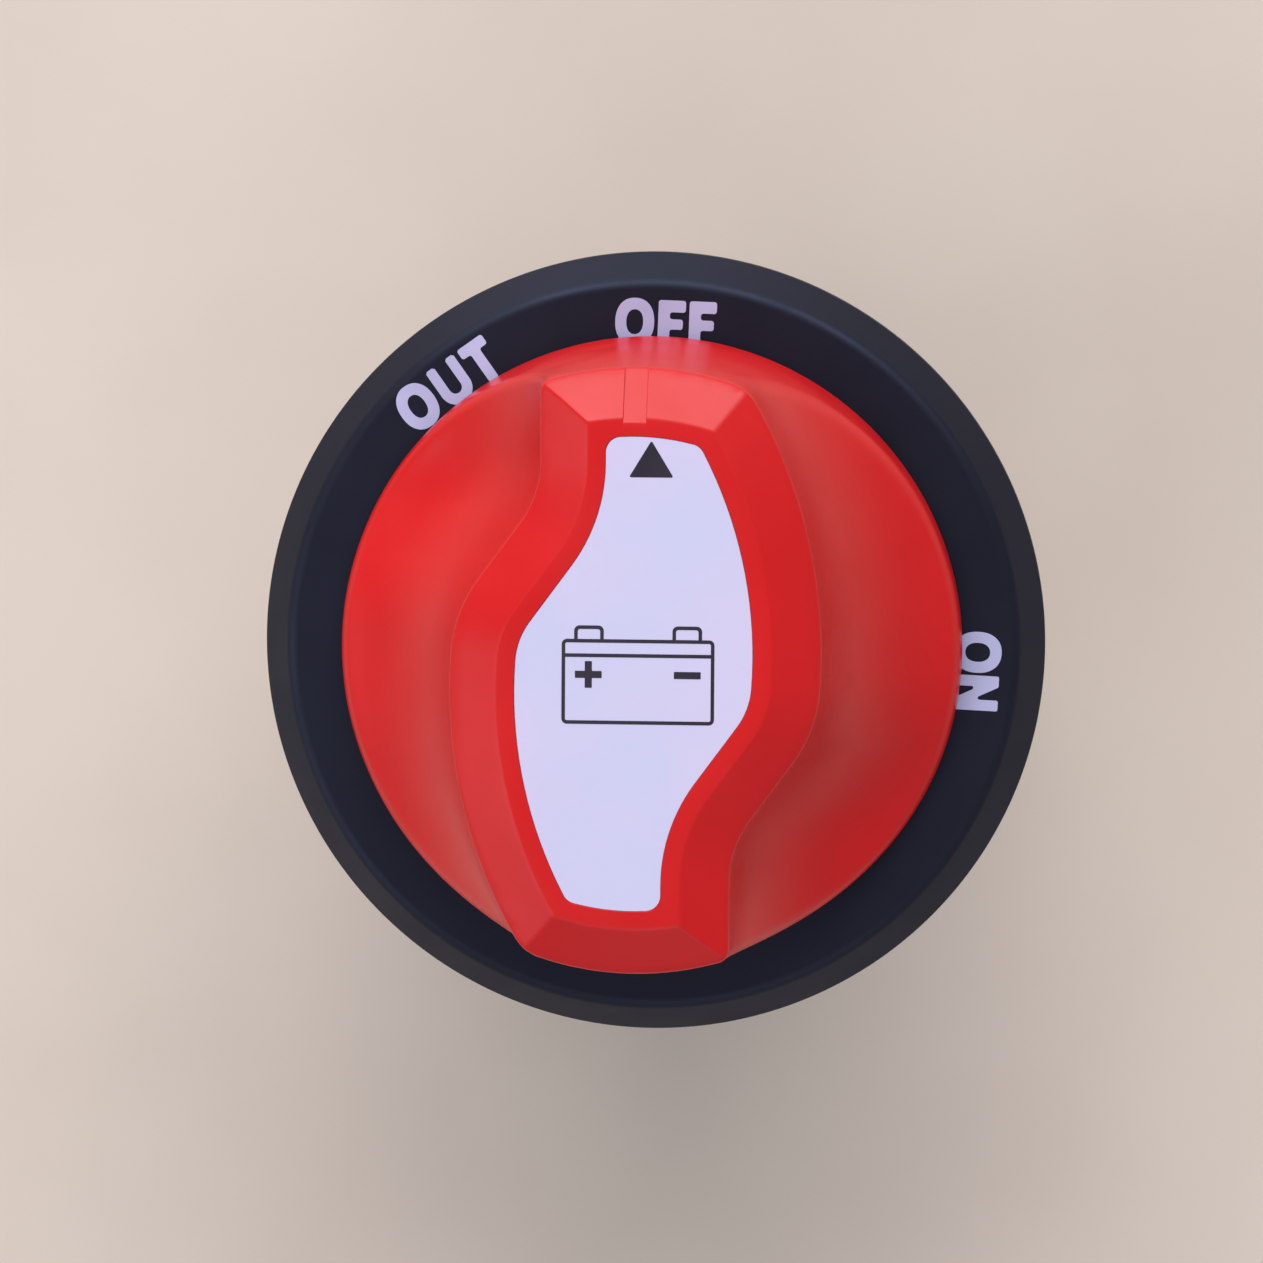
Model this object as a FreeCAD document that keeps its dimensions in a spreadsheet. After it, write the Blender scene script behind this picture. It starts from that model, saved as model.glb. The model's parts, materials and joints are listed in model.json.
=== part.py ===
import FreeCAD, Part
import Sketcher
import math
import os

# Battery disconnect switch for a boat's panel. Millimetres.
# +Z points at the person turning the knob, +Y is the OFF legend, and z = 0 is the face
# of the panel. The knob points at OFF.

SIZES = {
    # snap-on bezel
    "bezel_radius": 34.5,
    "bezel_face_radius": 32.0,
    "bezel_rim_z": 1.2,
    "bezel_face_z": 4.2,
    "bezel_under_z": 2.75,
    "bezel_hole_radius": 12.0,
    "bezel_skirt_radius": 32.95,
    "bezel_cone_z": 1.5,
    "bezel_inner_radius": 31.6,
    "bead_radius": 32.6,
    "bead_low_z": 0.5,
    "bead_mid_z": 0.8,
    "bead_high_z": 1.1,
    "key_width": 3.0,
    "key_inner": 27.0,
    "key_outer": 30.0,
    "key_z": 1.75,
    # housing flange
    "flange_radius": 32.8,
    "flange_top_radius": 31.4,
    "flange_cone_z": 1.4,
    "bead_groove_radius": 32.3,
    "bead_groove_low_z": 0.3,
    "bead_groove_high_z": 1.3,
    "gasket_inner": 30.4,
    "gasket_outer": 31.8,
    "gasket_depth": 0.8,
    "gasket_groove_inner": 30.25,
    "gasket_groove_outer": 31.95,
    "screw_circle": 28.0,
    "screw_hole_radius": 1.8,
    "screw_head_radius": 3.2,
    "screw_hole_depth": 4.0,
    "key_notch_width": 3.3,
    "key_notch_inner": 26.85,
    "key_notch_outer": 30.15,
    "key_notch_z": 1.6,
    # housing body
    "neck_radius": 24.4,
    "neck_low_z": -27.0,
    "skirt_radius": 24.0,
    "skirt_low_z": -46.0,
    "base_bore_radius": 22.4,
    "base_top_z": -20.0,
    "chamber_radius": 20.9,
    "chamber_top_z": -1.5,
    "sleeve_radius": 11.2,
    "sleeve_top_z": 6.5,
    "shaft_bore_radius": 8.05,
    "boss_circle": 19.0,
    "boss_radius": 2.6,
    "boss_height": 19.0,
    "boss_hole_radius": 1.5,
    "boss_hole_depth": 7.0,
    "notch_half_width": 10.0,
    "notch_low_z": -48.0,
    "notch_high_z": -28.5,
    "stop_slot_inner": 11.1,
    "stop_slot_outer": 14.5,
    "stop_slot_top_z": 0.9,
    "stop_slot_angle": 146.9,
    "stop_slot_centre": 156.0,
    "post_inner": 16.8,
    "post_outer": 18.25,
    "post_low": 7.2,
    "post_high": 9.4,
    "post_depth": 6.5,
    # terminal base
    "base_radius": 22.25,
    "base_low_z": -26.0,
    "seal_rebate_radius": 20.75,
    "seal_inner": 20.95,
    "seal_outer": 22.2,
    "seal_low_z": -20.8,
    "thrust_inner": 2.4,
    "thrust_outer": 4.7,
    "thrust_height": 3.55,
    "stud_spacing": 11.8,
    "stud_hole_radius": 5.15,
    "stud_seal_pocket_radius": 6.9,
    "stud_seal_pocket_depth": 1.7,
    "head_rib_low": 6.75,
    "head_rib_high": 8.2,
    "head_rib_inner": 8.0,
    "head_rib_outer": 15.6,
    "head_rib_height": 1.8,
    "barrier_half_thickness": 1.1,
    "barrier_half_width": 20.6,
    "barrier_height": 17.0,
    "base_hole_radius": 1.6,
    "base_head_pocket_radius": 3.1,
    "base_head_pocket_depth": 2.1,
    "base_screw_radius": 1.45,
    "base_screw_head_radius": 2.8,
    "base_screw_head_height": 1.9,
    "base_screw_seat_z": -23.9,
    "base_screw_tip_z": -14.0,
    "base_screw_socket_z": -24.6,
    "base_screw_socket_radius": 1.3,
    # terminal studs and their hardware
    "stud_head_radius": 8.0,
    "stud_head_flat": 6.6,
    "stud_head_inner": 5.0,
    "stud_head_outer": 21.0,
    "stud_head_clear": 22.0,
    "stud_head_top_z": -17.6,
    "stud_radius": 5.0,
    "stud_low_z": -44.5,
    "fixed_tip_radius": 4.0,
    "tip_thickness": 1.0,
    "stud_seal_ring": 5.95,
    "stud_seal_wire": 0.74,
    "stud_seal_z": -20.82,
    "washer_hole_radius": 5.25,
    "washer_radius": 10.0,
    "washer_thickness": 2.0,
    "washer_low_z": -28.0,
    "spring_washer_radius": 9.0,
    "spring_washer_thickness": 2.2,
    "spring_washer_low_z": -30.2,
    "nut_across_flats": 17.0,
    "nut_height": 8.4,
    "nut_low_z": -38.6,
    "nut_hole_radius": 5.06,
    # detent spring
    "leaf_x": 18.35,
    "leaf_back_x": 18.75,
    "leaf_nose_x": 15.35,
    "leaf_nose_back_x": 15.9,
    "leaf_half_length": 8.2,
    "leaf_bend_y": 2.6,
    "leaf_bend_back_y": 2.4,
    "leaf_low_z": -7.6,
    "leaf_height": 4.5,
    # rotor
    "rotor_radius": 15.9,
    "rotor_low_z": -8.5,
    "rotor_disc_z": -2.0,
    "journal_radius": 8.0,
    "journal_top_z": 6.0,
    "shaft_seal_groove_radius": 6.5,
    "shaft_seal_groove_low_z": -0.2,
    "shaft_seal_groove_high_z": 1.3,
    "shaft_seal_ring": 7.28,
    "shaft_seal_wire": 0.66,
    "shaft_seal_z": 0.55,
    "socket_half": 4.05,
    "socket_depth": 10.0,
    "spring_recess_radius": 4.0,
    "spring_recess_depth": 3.0,
    "ear_inner": 4.3,
    "ear_outer": 6.6,
    "ear_root_z": -8.0,
    "ear_low_z": -16.35,
    "ear_lip_z": -15.65,
    "ear_lip_inner": 3.4,
    "ear_width": 11.0,
    "stop_pin_radius": 1.5,
    "stop_pin_circle": 12.8,
    "stop_pin_height": 2.4,
    "detent_circle": 16.9,
    "detent_radius": 1.9,
    "detent_off_angle": 0.0,
    "detent_on_angle": 90.0,
    "detent_out_angle": -42.0,
    # contact bridge
    "bridge_half_width": 4.0,
    "bridge_low_z": -15.55,
    "bridge_thickness": 2.5,
    "bridge_tip_radius": 3.6,
    "bridge_tip_low_z": -16.55,
    "seat_low_z": -13.05,
    "seat_radius": 3.9,
    "seat_top_z": -12.3,
    "seat_spigot_radius": 2.6,
    "seat_spigot_z": -10.9,
    "spring_ring": 3.3,
    "spring_wire": 0.4,
    "spring_low_z": -11.85,
    "spring_height": 5.9,
    "spring_pitch": 1.7,
    # clip that grips the stem
    "clip_wire": 0.5,
    "clip_leg_x": 4.1,
    "clip_z": 4.0,
    "clip_bend_y": 2.8,
    "clip_end_y": 5.5,
    "clip_slot_inner": 3.35,
    "clip_slot_outer": 5.1,
    "clip_slot_top_z": 4.65,
    "clip_slot_height": 1.3,
    "clip_slot_end": 9.0,
    # knob
    "knob_base_radius": 27.3,
    "knob_base_z": 5.0,
    "knob_shoulder_radius": 25.8,
    "knob_shoulder_z": 27.6,
    "knob_land_z": 30.0,
    "scoop_radius": 22.0,
    "scoop_top_z": 27.0,
    "scoop_reach": 24.0,
    "scoop_clear_z": 31.5,
    "bevel_foot_inset": 0.02,
    "bevel_foot_end_radius": 25.78,
    "bevel_width": 4.15,
    "land_end_radius": 21.65,
    "grip_end_y": 28.4,
    "grip_side_arc": 43.0,
    "grip_side_x": 15.8,
    "grip_side_y": 1.5,
    "grip_elbow_arc": 12.0,
    "grip_elbow_y": -0.66,
    "grip_hollow_arc": 9.0,
    "grip_hollow_y": -17.86,
    "grip_neck_x": 8.15,
    "label_inset": 5.75,
    "label_end_radius": 20.1,
    "label_low_z": 29.65,
    "recess_inset": 5.63,
    "recess_end_radius": 20.22,
    "label_recess_depth": 0.35,
    "label_thickness": 0.28,
    "label_corner": 1.3,
    "indicator_width": 1.95,
    "indicator_outer_y": 26.6,
    "indicator_outer_z": 26.9,
    "indicator_inner_y": 20.85,
    "indicator_inner_z": 30.23,
    "cavity_inset": 3.6,
    "cavity_end_radius": 22.0,
    "cavity_top_z": 26.9,
    "under_recess_radius": 22.5,
    "under_recess_top_z": 6.4,
    "sleeve_clearance_radius": 12.5,
    "hub_low_z": 7.2,
    "hub_radius": 7.6,
    "rib_half": 0.8,
    "rib_low_z": 9.0,
    "rib_reach_x": 13.2,
    "rib_reach_y": 22.8,
    "hub_socket_depth": 12.85,
    "knob_screw_hole_radius": 2.2,
    "knob_screw_hole_depth": 10.5,
    "knob_screw_seat_z": 27.0,
    "knob_screw_pocket_depth": 3.0,
    "knob_screw_pocket_radius": 3.9,
    # stem and its screw
    "stem_half": 4.0,
    "stem_low_z": -3.5,
    "stem_top_z": 20.0,
    "stem_lead_in": 0.8,
    "stem_groove_x": 3.45,
    "stem_groove_outer": 5.0,
    "stem_groove_low_z": 3.35,
    "stem_groove_high_z": 4.65,
    "stem_hole_radius": 2.05,
    "stem_hole_depth": 12.0,
    "knob_screw_radius": 2.0,
    "knob_screw_head_radius": 3.5,
    "knob_screw_head_height": 2.2,
    "knob_screw_tip_z": 9.5,
    "knob_screw_top_z": 29.2,
    "knob_screw_cross": 0.5,
    "knob_screw_cross_length": 2.2,
    "knob_screw_cross_depth": 1.4,
}

X_AXIS = FreeCAD.Vector(1, 0, 0)
Y_AXIS = FreeCAD.Vector(0, 1, 0)
Z_AXIS = FreeCAD.Vector(0, 0, 1)

doc = FreeCAD.newDocument("battery_switch")
parts = []


def make_sheet():
    """Puts every driving dimension in a spreadsheet, one alias each."""
    sheet = doc.addObject("Spreadsheet::Sheet", "Sizes")
    for row, (alias, value) in enumerate(SIZES.items(), start=1):
        sheet.set(f"A{row}", alias)
        sheet.set(f"B{row}", str(value))
        sheet.setAlias(f"B{row}", alias)
    doc.recompute()


def number(length):
    """The value of a length: 0, an alias, or an alias with a minus sign."""
    if length == 0:
        return 0.0
    if length.startswith("-"):
        return -SIZES[length[1:]]
    return SIZES[length]


def formula(length):
    """The expression of a length, for setExpression."""
    if length.startswith("-"):
        return f"-Sizes.{length[1:]}"
    return f"Sizes.{length}"


def new_body(label):
    body = doc.addObject("PartDesign::Body", label)
    body.Label = label
    body.AllowCompound = True
    parts.append(body)
    return body


def origin_plane(body, role):
    return next(item for item in body.Origin.OriginFeatures if item.Role == role)


def new_sketch(body, name, role, offset=0, turn=None):
    """A sketch on an origin plane, moved along the plane's normal and turned about its own y."""
    sketch = body.newObject("Sketcher::SketchObject", name)
    sketch.AttachmentSupport = (origin_plane(body, role), [""])
    sketch.MapMode = "FlatFace"
    if turn:
        sketch.AttachmentOffset = FreeCAD.Placement(
            FreeCAD.Vector(), FreeCAD.Rotation(Y_AXIS, number(turn))
        )
        sketch.setExpression("AttachmentOffset.Rotation.Angle", f"Sizes.{turn} * 1deg")
    if offset != 0:
        sketch.setExpression("AttachmentOffset.Base.z", formula(offset))
    return sketch


def dimension(sketch, kind, geometry, point, expression, value):
    """Dimensions a point from the sketch's origin, or a curve's radius, from the sheet."""
    if kind == "Radius":
        index = sketch.addConstraint(Sketcher.Constraint(kind, geometry, value))
    else:
        index = sketch.addConstraint(Sketcher.Constraint(kind, -1, 1, geometry, point, value))
    sketch.setExpression(f"Constraints[{index}]", expression)


def place_point(sketch, geometry, point, x, y):
    """Fixes a point at two lengths; zero means on the axis."""
    for kind, axis, length in (("DistanceX", -2, x), ("DistanceY", -1, y)):
        if length == 0:
            sketch.addConstraint(Sketcher.Constraint("PointOnObject", geometry, point, axis))
        else:
            dimension(sketch, kind, geometry, point, formula(length), number(length))


def polygon(sketch, corners):
    """A closed outline of straight lines with every corner placed from the sheet."""
    points = [FreeCAD.Vector(number(x), number(y), 0) for x, y in corners]
    count = len(points)
    first = sketch.GeometryCount
    for i in range(count):
        sketch.addGeometry(Part.LineSegment(points[i], points[(i + 1) % count]), False)
    for i in range(count):
        following = first + (i + 1) % count
        sketch.addConstraint(Sketcher.Constraint("Coincident", first + i, 2, following, 1))
    for i, (x, y) in enumerate(corners):
        place_point(sketch, first + i, 1, x, y)


def rectangle(sketch, low_x, high_x, low_y, high_y):
    polygon(sketch, [(low_x, low_y), (high_x, low_y), (high_x, high_y), (low_x, high_y)])


def circle(sketch, radius, x=0, y=0):
    centre = FreeCAD.Vector(number(x), number(y), 0)
    index = sketch.addGeometry(Part.Circle(centre, Z_AXIS, number(radius)), False)
    dimension(sketch, "Radius", index, 0, formula(radius), number(radius))
    place_point(sketch, index, 3, x, y)


def circle_at_angle(sketch, radius, ring, angle):
    """A circle whose centre is on a ring, at an angle in degrees from +X."""
    along = number(ring) * math.cos(math.radians(number(angle)))
    across = number(ring) * math.sin(math.radians(number(angle)))
    centre = FreeCAD.Vector(along, across, 0)
    index = sketch.addGeometry(Part.Circle(centre, Z_AXIS, number(radius)), False)
    dimension(sketch, "Radius", index, 0, formula(radius), number(radius))
    turned = f"(Sizes.{angle} * 1deg)"
    dimension(sketch, "DistanceX", index, 3, f"Sizes.{ring} * cos{turned}", along)
    dimension(sketch, "DistanceY", index, 3, f"Sizes.{ring} * sin{turned}", across)


def circle_on_diagonal(sketch, radius, ring):
    """A circle halfway between +X and +Y, its centre on a ring."""
    offset = number(ring) / math.sqrt(2)
    centre = FreeCAD.Vector(offset, offset, 0)
    index = sketch.addGeometry(Part.Circle(centre, Z_AXIS, number(radius)), False)
    dimension(sketch, "Radius", index, 0, formula(radius), number(radius))
    for kind in ("DistanceX", "DistanceY"):
        dimension(sketch, kind, index, 3, f"Sizes.{ring} / sqrt(2)", offset)


def hexagon(sketch, across_flats, x):
    """A regular hexagon with two flats facing +X and -X."""
    centre = FreeCAD.Vector(number(x), 0, 0)
    corner_radius = number(across_flats) / math.sqrt(3)
    corners = [
        centre + FreeCAD.Rotation(Z_AXIS, 30 + 60 * i).multVec(X_AXIS * corner_radius)
        for i in range(6)
    ]
    guide = sketch.addGeometry(Part.Circle(centre, Z_AXIS, corner_radius), True)
    dimension(sketch, "Radius", guide, 0, f"{formula(across_flats)} / sqrt(3)", corner_radius)
    place_point(sketch, guide, 3, x, 0)
    first = sketch.GeometryCount
    for i in range(6):
        sketch.addGeometry(Part.LineSegment(corners[i], corners[(i + 1) % 6]), False)
    for i in range(6):
        following = first + (i + 1) % 6
        sketch.addConstraint(Sketcher.Constraint("Coincident", first + i, 2, following, 1))
        sketch.addConstraint(Sketcher.Constraint("PointOnObject", first + i, 1, guide))
    for i in range(5):
        sketch.addConstraint(Sketcher.Constraint("Equal", first, first + i + 1))
    sketch.addConstraint(Sketcher.Constraint("Vertical", first + 5))


def extrude(body, kind, name, sketch, length, reverse=False, middle=False):
    """A Pad or Pocket. A Pad grows along the sketch's normal and a Pocket cuts against it."""
    feature = body.newObject(f"PartDesign::{kind}", name)
    feature.Profile = sketch
    feature.Reversed = reverse
    feature.Midplane = middle
    feature.setExpression("Length", length)
    sketch.Visibility = False
    return feature


def pad(body, name, sketch, length, **options):
    return extrude(body, "Pad", name, sketch, length, **options)


def pocket(body, name, sketch, length, **options):
    return extrude(body, "Pocket", name, sketch, length, **options)


def turn_profile(body, kind, name, corners):
    """Turns an outline in the XZ plane about the Z axis, as a Revolution or a Groove."""
    sketch = new_sketch(body, name + "_profile", "XZ_Plane")
    polygon(sketch, corners)
    feature = body.newObject(f"PartDesign::{kind}", name)
    feature.Profile = sketch
    feature.ReferenceAxis = (sketch, ["V_Axis"])
    feature.Angle = 360
    return feature


def polar_copies(body, name, originals, count):
    """Repeats features evenly about the Z axis."""
    feature = body.newObject("PartDesign::PolarPattern", name)
    feature.Originals = originals
    axis = next(item for item in body.Origin.OriginFeatures if item.Role == "Z_Axis")
    feature.Axis = (axis, [""])
    feature.Angle = 360
    feature.Occurrences = count
    body.Tip = feature
    return feature


def plate(body, name, outlines, low_z, height, count=1):
    """A pad upwards from low_z whose sketch is drawn by outlines, repeated count times about Z."""
    sketch = new_sketch(body, name + "_outline", "XY_Plane", low_z)
    outlines(sketch)
    feature = pad(body, name, sketch, height)
    if count > 1:
        polar_copies(body, name + "_copies", [feature], count)
    return feature


def make_bezel():
    body = new_body("front_bezel")
    turn_profile(
        body,
        "Revolution",
        "bezel_ring",
        [
            ("bezel_radius", 0),
            ("bezel_radius", "bezel_rim_z"),
            ("bezel_face_radius", "bezel_face_z"),
            ("bezel_hole_radius", "bezel_face_z"),
            ("bezel_hole_radius", "bezel_under_z"),
            ("bezel_inner_radius", "bezel_under_z"),
            ("bezel_skirt_radius", "bezel_cone_z"),
            ("bezel_skirt_radius", "bead_high_z"),
            ("bead_radius", "bead_mid_z"),
            ("bezel_skirt_radius", "bead_low_z"),
            ("bezel_skirt_radius", 0),
        ],
    )
    sketch = new_sketch(body, "key_outline", "YZ_Plane")
    rectangle(sketch, "key_inner", "key_outer", "key_z", "bezel_under_z")
    pad(body, "locating_key", sketch, "Sizes.key_width", middle=True)


def make_gasket():
    def ring(sketch):
        circle(sketch, "gasket_inner")
        circle(sketch, "gasket_outer")

    plate(new_body("panel_gasket"), "gasket_ring", ring, 0, "Sizes.gasket_depth")


def make_housing():
    body = new_body("switch_housing")
    turn_profile(
        body,
        "Revolution",
        "housing_shell",
        [
            ("shaft_bore_radius", "sleeve_top_z"),
            ("sleeve_radius", "sleeve_top_z"),
            ("sleeve_radius", "bezel_under_z"),
            ("flange_top_radius", "bezel_under_z"),
            ("flange_radius", "flange_cone_z"),
            ("flange_radius", "bead_groove_high_z"),
            ("bead_groove_radius", "bead_mid_z"),
            ("flange_radius", "bead_groove_low_z"),
            ("flange_radius", 0),
            ("gasket_groove_outer", 0),
            ("gasket_groove_outer", "gasket_depth"),
            ("gasket_groove_inner", "gasket_depth"),
            ("gasket_groove_inner", 0),
            ("neck_radius", 0),
            ("neck_radius", "neck_low_z"),
            ("skirt_radius", "neck_low_z"),
            ("skirt_radius", "skirt_low_z"),
            ("base_bore_radius", "skirt_low_z"),
            ("base_bore_radius", "base_top_z"),
            ("chamber_radius", "base_top_z"),
            ("chamber_radius", "chamber_top_z"),
            ("shaft_bore_radius", "chamber_top_z"),
        ],
    )
    add_housing_bosses(body)
    cut_housing_openings(body)


def add_housing_bosses(body):
    """Screw bosses for the terminal base and the two posts that hold the detent spring."""
    sketch = new_sketch(body, "boss_outline", "XY_Plane", "base_top_z")
    circle_on_diagonal(sketch, "boss_radius", "boss_circle")
    boss = pad(body, "base_boss", sketch, "Sizes.boss_height")
    polar_copies(body, "base_bosses", [boss], 4)
    sketch = new_sketch(body, "boss_hole_outline", "XY_Plane", "base_top_z")
    circle_on_diagonal(sketch, "boss_hole_radius", "boss_circle")
    hole = pocket(body, "boss_hole", sketch, "Sizes.boss_hole_depth", reverse=True)
    polar_copies(body, "boss_holes", [hole], 4)
    sketch = new_sketch(body, "post_outline", "XY_Plane", "chamber_top_z")
    rectangle(sketch, "post_inner", "post_outer", "post_low", "post_high")
    rectangle(sketch, "post_inner", "post_outer", "-post_high", "-post_low")
    pad(body, "leaf_posts", sketch, "Sizes.post_depth", reverse=True)


def cut_housing_openings(body):
    """Panel screw holes, the bezel key's notch, cable notches and the slot that stops the rotor."""
    sketch = new_sketch(body, "screw_hole_outline", "XY_Plane", "bezel_under_z")
    circle_on_diagonal(sketch, "screw_hole_radius", "screw_circle")
    doc.recompute()
    hole = body.newObject("PartDesign::Hole", "screw_hole")
    hole.Profile = sketch
    hole.DepthType = "Dimension"
    hole.DrillPoint = "Flat"
    hole.HoleCutType = "Countersink"
    hole.setExpression("Diameter", "2 * Sizes.screw_hole_radius")
    hole.setExpression("Depth", "Sizes.screw_hole_depth")
    hole.HoleCutCustomValues = True
    hole.setExpression("HoleCutDiameter", "2 * Sizes.screw_head_radius")
    hole.HoleCutCountersinkAngle = 90
    sketch.Visibility = False
    polar_copies(body, "screw_holes", [hole], 4)
    sketch = new_sketch(body, "key_notch_outline", "YZ_Plane")
    rectangle(sketch, "key_notch_inner", "key_notch_outer", "key_notch_z", "sleeve_top_z")
    pocket(body, "key_notch", sketch, "Sizes.key_notch_width", middle=True)
    sketch = new_sketch(body, "cable_notch_outline", "YZ_Plane")
    half = "notch_half_width"
    rectangle(sketch, "-" + half, half, "notch_low_z", "notch_high_z")
    pocket(body, "cable_notches", sketch, "4 * Sizes.neck_radius", middle=True)
    sketch = new_sketch(body, "stop_slot_profile", "XZ_Plane", turn="stop_slot_centre")
    rectangle(sketch, "stop_slot_inner", "stop_slot_outer", "chamber_top_z", "stop_slot_top_z")
    slot = body.newObject("PartDesign::Groove", "stop_slot")
    slot.Profile = sketch
    slot.ReferenceAxis = (sketch, ["V_Axis"])
    slot.Midplane = True
    slot.setExpression("Angle", "Sizes.stop_slot_angle * 1deg")


def make_terminal_base():
    body = new_body("terminal_base")
    turn_profile(
        body,
        "Revolution",
        "base_plate",
        [
            (0, "base_low_z"),
            ("base_radius", "base_low_z"),
            ("base_radius", "seal_low_z"),
            ("seal_rebate_radius", "seal_low_z"),
            ("seal_rebate_radius", "base_top_z"),
            (0, "base_top_z"),
        ],
    )

    def thrust_ring(sketch):
        circle(sketch, "thrust_inner")
        circle(sketch, "thrust_outer")

    def head_ribs(sketch):
        rectangle(sketch, "head_rib_inner", "head_rib_outer", "head_rib_low", "head_rib_high")
        rectangle(sketch, "head_rib_inner", "head_rib_outer", "-head_rib_high", "-head_rib_low")

    plate(body, "thrust_ring", thrust_ring, "base_top_z", "Sizes.thrust_height")
    plate(body, "head_ribs", head_ribs, "base_top_z", "Sizes.head_rib_height", count=2)
    sketch = new_sketch(body, "barrier_outline", "XY_Plane", "base_low_z")
    thick, wide = "barrier_half_thickness", "barrier_half_width"
    rectangle(sketch, "-" + thick, thick, "-" + wide, wide)
    pad(body, "barrier", sketch, "Sizes.barrier_height", reverse=True)
    cut_terminal_base(body)


def cut_terminal_base(body):
    """Stud holes with seal pockets inside, and screw holes with head pockets outside."""
    sketch = new_sketch(body, "stud_hole_outline", "XY_Plane", "base_top_z")
    circle(sketch, "stud_hole_radius", "stud_spacing")
    circle(sketch, "stud_hole_radius", "-stud_spacing")
    pocket(body, "stud_holes", sketch, "Sizes.base_top_z - Sizes.base_low_z")
    sketch = new_sketch(body, "seal_pocket_outline", "XY_Plane", "base_top_z")
    circle(sketch, "stud_seal_pocket_radius", "stud_spacing")
    circle(sketch, "stud_seal_pocket_radius", "-stud_spacing")
    pocket(body, "seal_pockets", sketch, "Sizes.stud_seal_pocket_depth")
    sketch = new_sketch(body, "base_hole_outline", "XY_Plane", "base_top_z")
    circle_on_diagonal(sketch, "base_hole_radius", "boss_circle")
    hole = pocket(body, "base_hole", sketch, "Sizes.base_top_z - Sizes.base_low_z")
    polar_copies(body, "base_holes", [hole], 4)
    sketch = new_sketch(body, "head_pocket_outline", "XY_Plane", "base_low_z")
    circle_on_diagonal(sketch, "base_head_pocket_radius", "boss_circle")
    recess = pocket(body, "head_pocket", sketch, "Sizes.base_head_pocket_depth", reverse=True)
    polar_copies(body, "head_pockets", [recess], 4)


def ring_seal(name, sizes, x="0"):
    """An O-ring round the Z direction, its sizes under one prefix in the sheet."""
    ring = doc.addObject("Part::Torus", name)
    ring.setExpression("Radius1", f"Sizes.{sizes}_ring")
    ring.setExpression("Radius2", f"Sizes.{sizes}_wire")
    ring.setExpression("Placement.Base.x", x)
    ring.setExpression("Placement.Base.z", f"Sizes.{sizes}_z")
    return ring


def make_base_seal():
    def ring(sketch):
        circle(sketch, "seal_inner")
        circle(sketch, "seal_outer")

    height = "Sizes.base_top_z - Sizes.seal_low_z"
    plate(new_body("base_seal"), "seal_ring", ring, "seal_low_z", height)


def make_base_screws():
    """Four pan-head screws from behind, each with a hexagon socket."""
    body = new_body("base_screws")
    sketch = new_sketch(body, "head_outline", "XY_Plane", "base_screw_seat_z")
    circle_on_diagonal(sketch, "base_screw_head_radius", "boss_circle")
    head = pad(body, "head", sketch, "Sizes.base_screw_head_height", reverse=True)
    sketch = new_sketch(body, "shank_outline", "XY_Plane", "base_screw_seat_z")
    circle_on_diagonal(sketch, "base_screw_radius", "boss_circle")
    shank = pad(body, "shank", sketch, "Sizes.base_screw_tip_z - Sizes.base_screw_seat_z")
    sketch = new_sketch(body, "socket_outline", "XY_Plane", "base_screw_socket_z")
    circle_on_diagonal(sketch, "base_screw_socket_radius", "boss_circle")
    socket = pocket(body, "socket", sketch, "Sizes.base_screw_head_height")
    polar_copies(body, "screws", [head, shank, socket], 4)


def make_stud(label, sign):
    """A stud whose flat-sided head lies on the inside of the base; sign is "" or "-"."""
    body = new_body(label)
    height = "Sizes.stud_head_top_z - Sizes.base_top_z"
    sketch = new_sketch(body, "head_outline", "XY_Plane", "base_top_z")
    circle(sketch, "stud_head_radius", sign + "stud_spacing")
    pad(body, "head", sketch, height)
    inner, outer = sorted((sign + "stud_head_inner", sign + "stud_head_outer"), key=number)
    sketch = new_sketch(body, "flats_outline", "XY_Plane", "stud_head_top_z")
    clear = "stud_head_clear"
    rectangle(sketch, "-" + clear, clear, "-" + clear, clear)
    rectangle(sketch, inner, outer, "-stud_head_flat", "stud_head_flat")
    pocket(body, "flats", sketch, height)
    sketch = new_sketch(body, "shank_outline", "XY_Plane", "base_top_z")
    circle(sketch, "stud_radius", sign + "stud_spacing")
    pad(body, "shank", sketch, "Sizes.base_top_z - Sizes.stud_low_z", reverse=True)


def pair_of_rings(label, outer, inner, low_z, height):
    """One washer round each stud."""

    def ring(sketch):
        circle(sketch, outer, "stud_spacing")
        circle(sketch, inner, "stud_spacing")

    plate(new_body(label), "ring", ring, low_z, height, count=2)


def make_stud_hardware():
    def tip(sketch):
        circle(sketch, "fixed_tip_radius", "stud_spacing")

    def nut(sketch):
        hexagon(sketch, "nut_across_flats", "stud_spacing")
        circle(sketch, "nut_hole_radius", "stud_spacing")

    tips = new_body("fixed_contact_tips")
    plate(tips, "tip", tip, "stud_head_top_z", "Sizes.tip_thickness", count=2)
    hole, thick = "washer_hole_radius", "Sizes.washer_thickness"
    pair_of_rings("flat_washers", "washer_radius", hole, "washer_low_z", thick)
    thick = "Sizes.spring_washer_thickness"
    pair_of_rings("spring_washers", "spring_washer_radius", hole, "spring_washer_low_z", thick)
    plate(new_body("stud_nuts"), "nut", nut, "nut_low_z", "Sizes.nut_height", count=2)
    seals = [ring_seal("stud_seal", "stud_seal", f"{sign}Sizes.stud_spacing") for sign in ("", "-")]
    group = doc.addObject("Part::Compound", "stud_seals")
    group.Label = "stud_seals"
    group.Links = seals
    parts.append(group)


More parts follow.
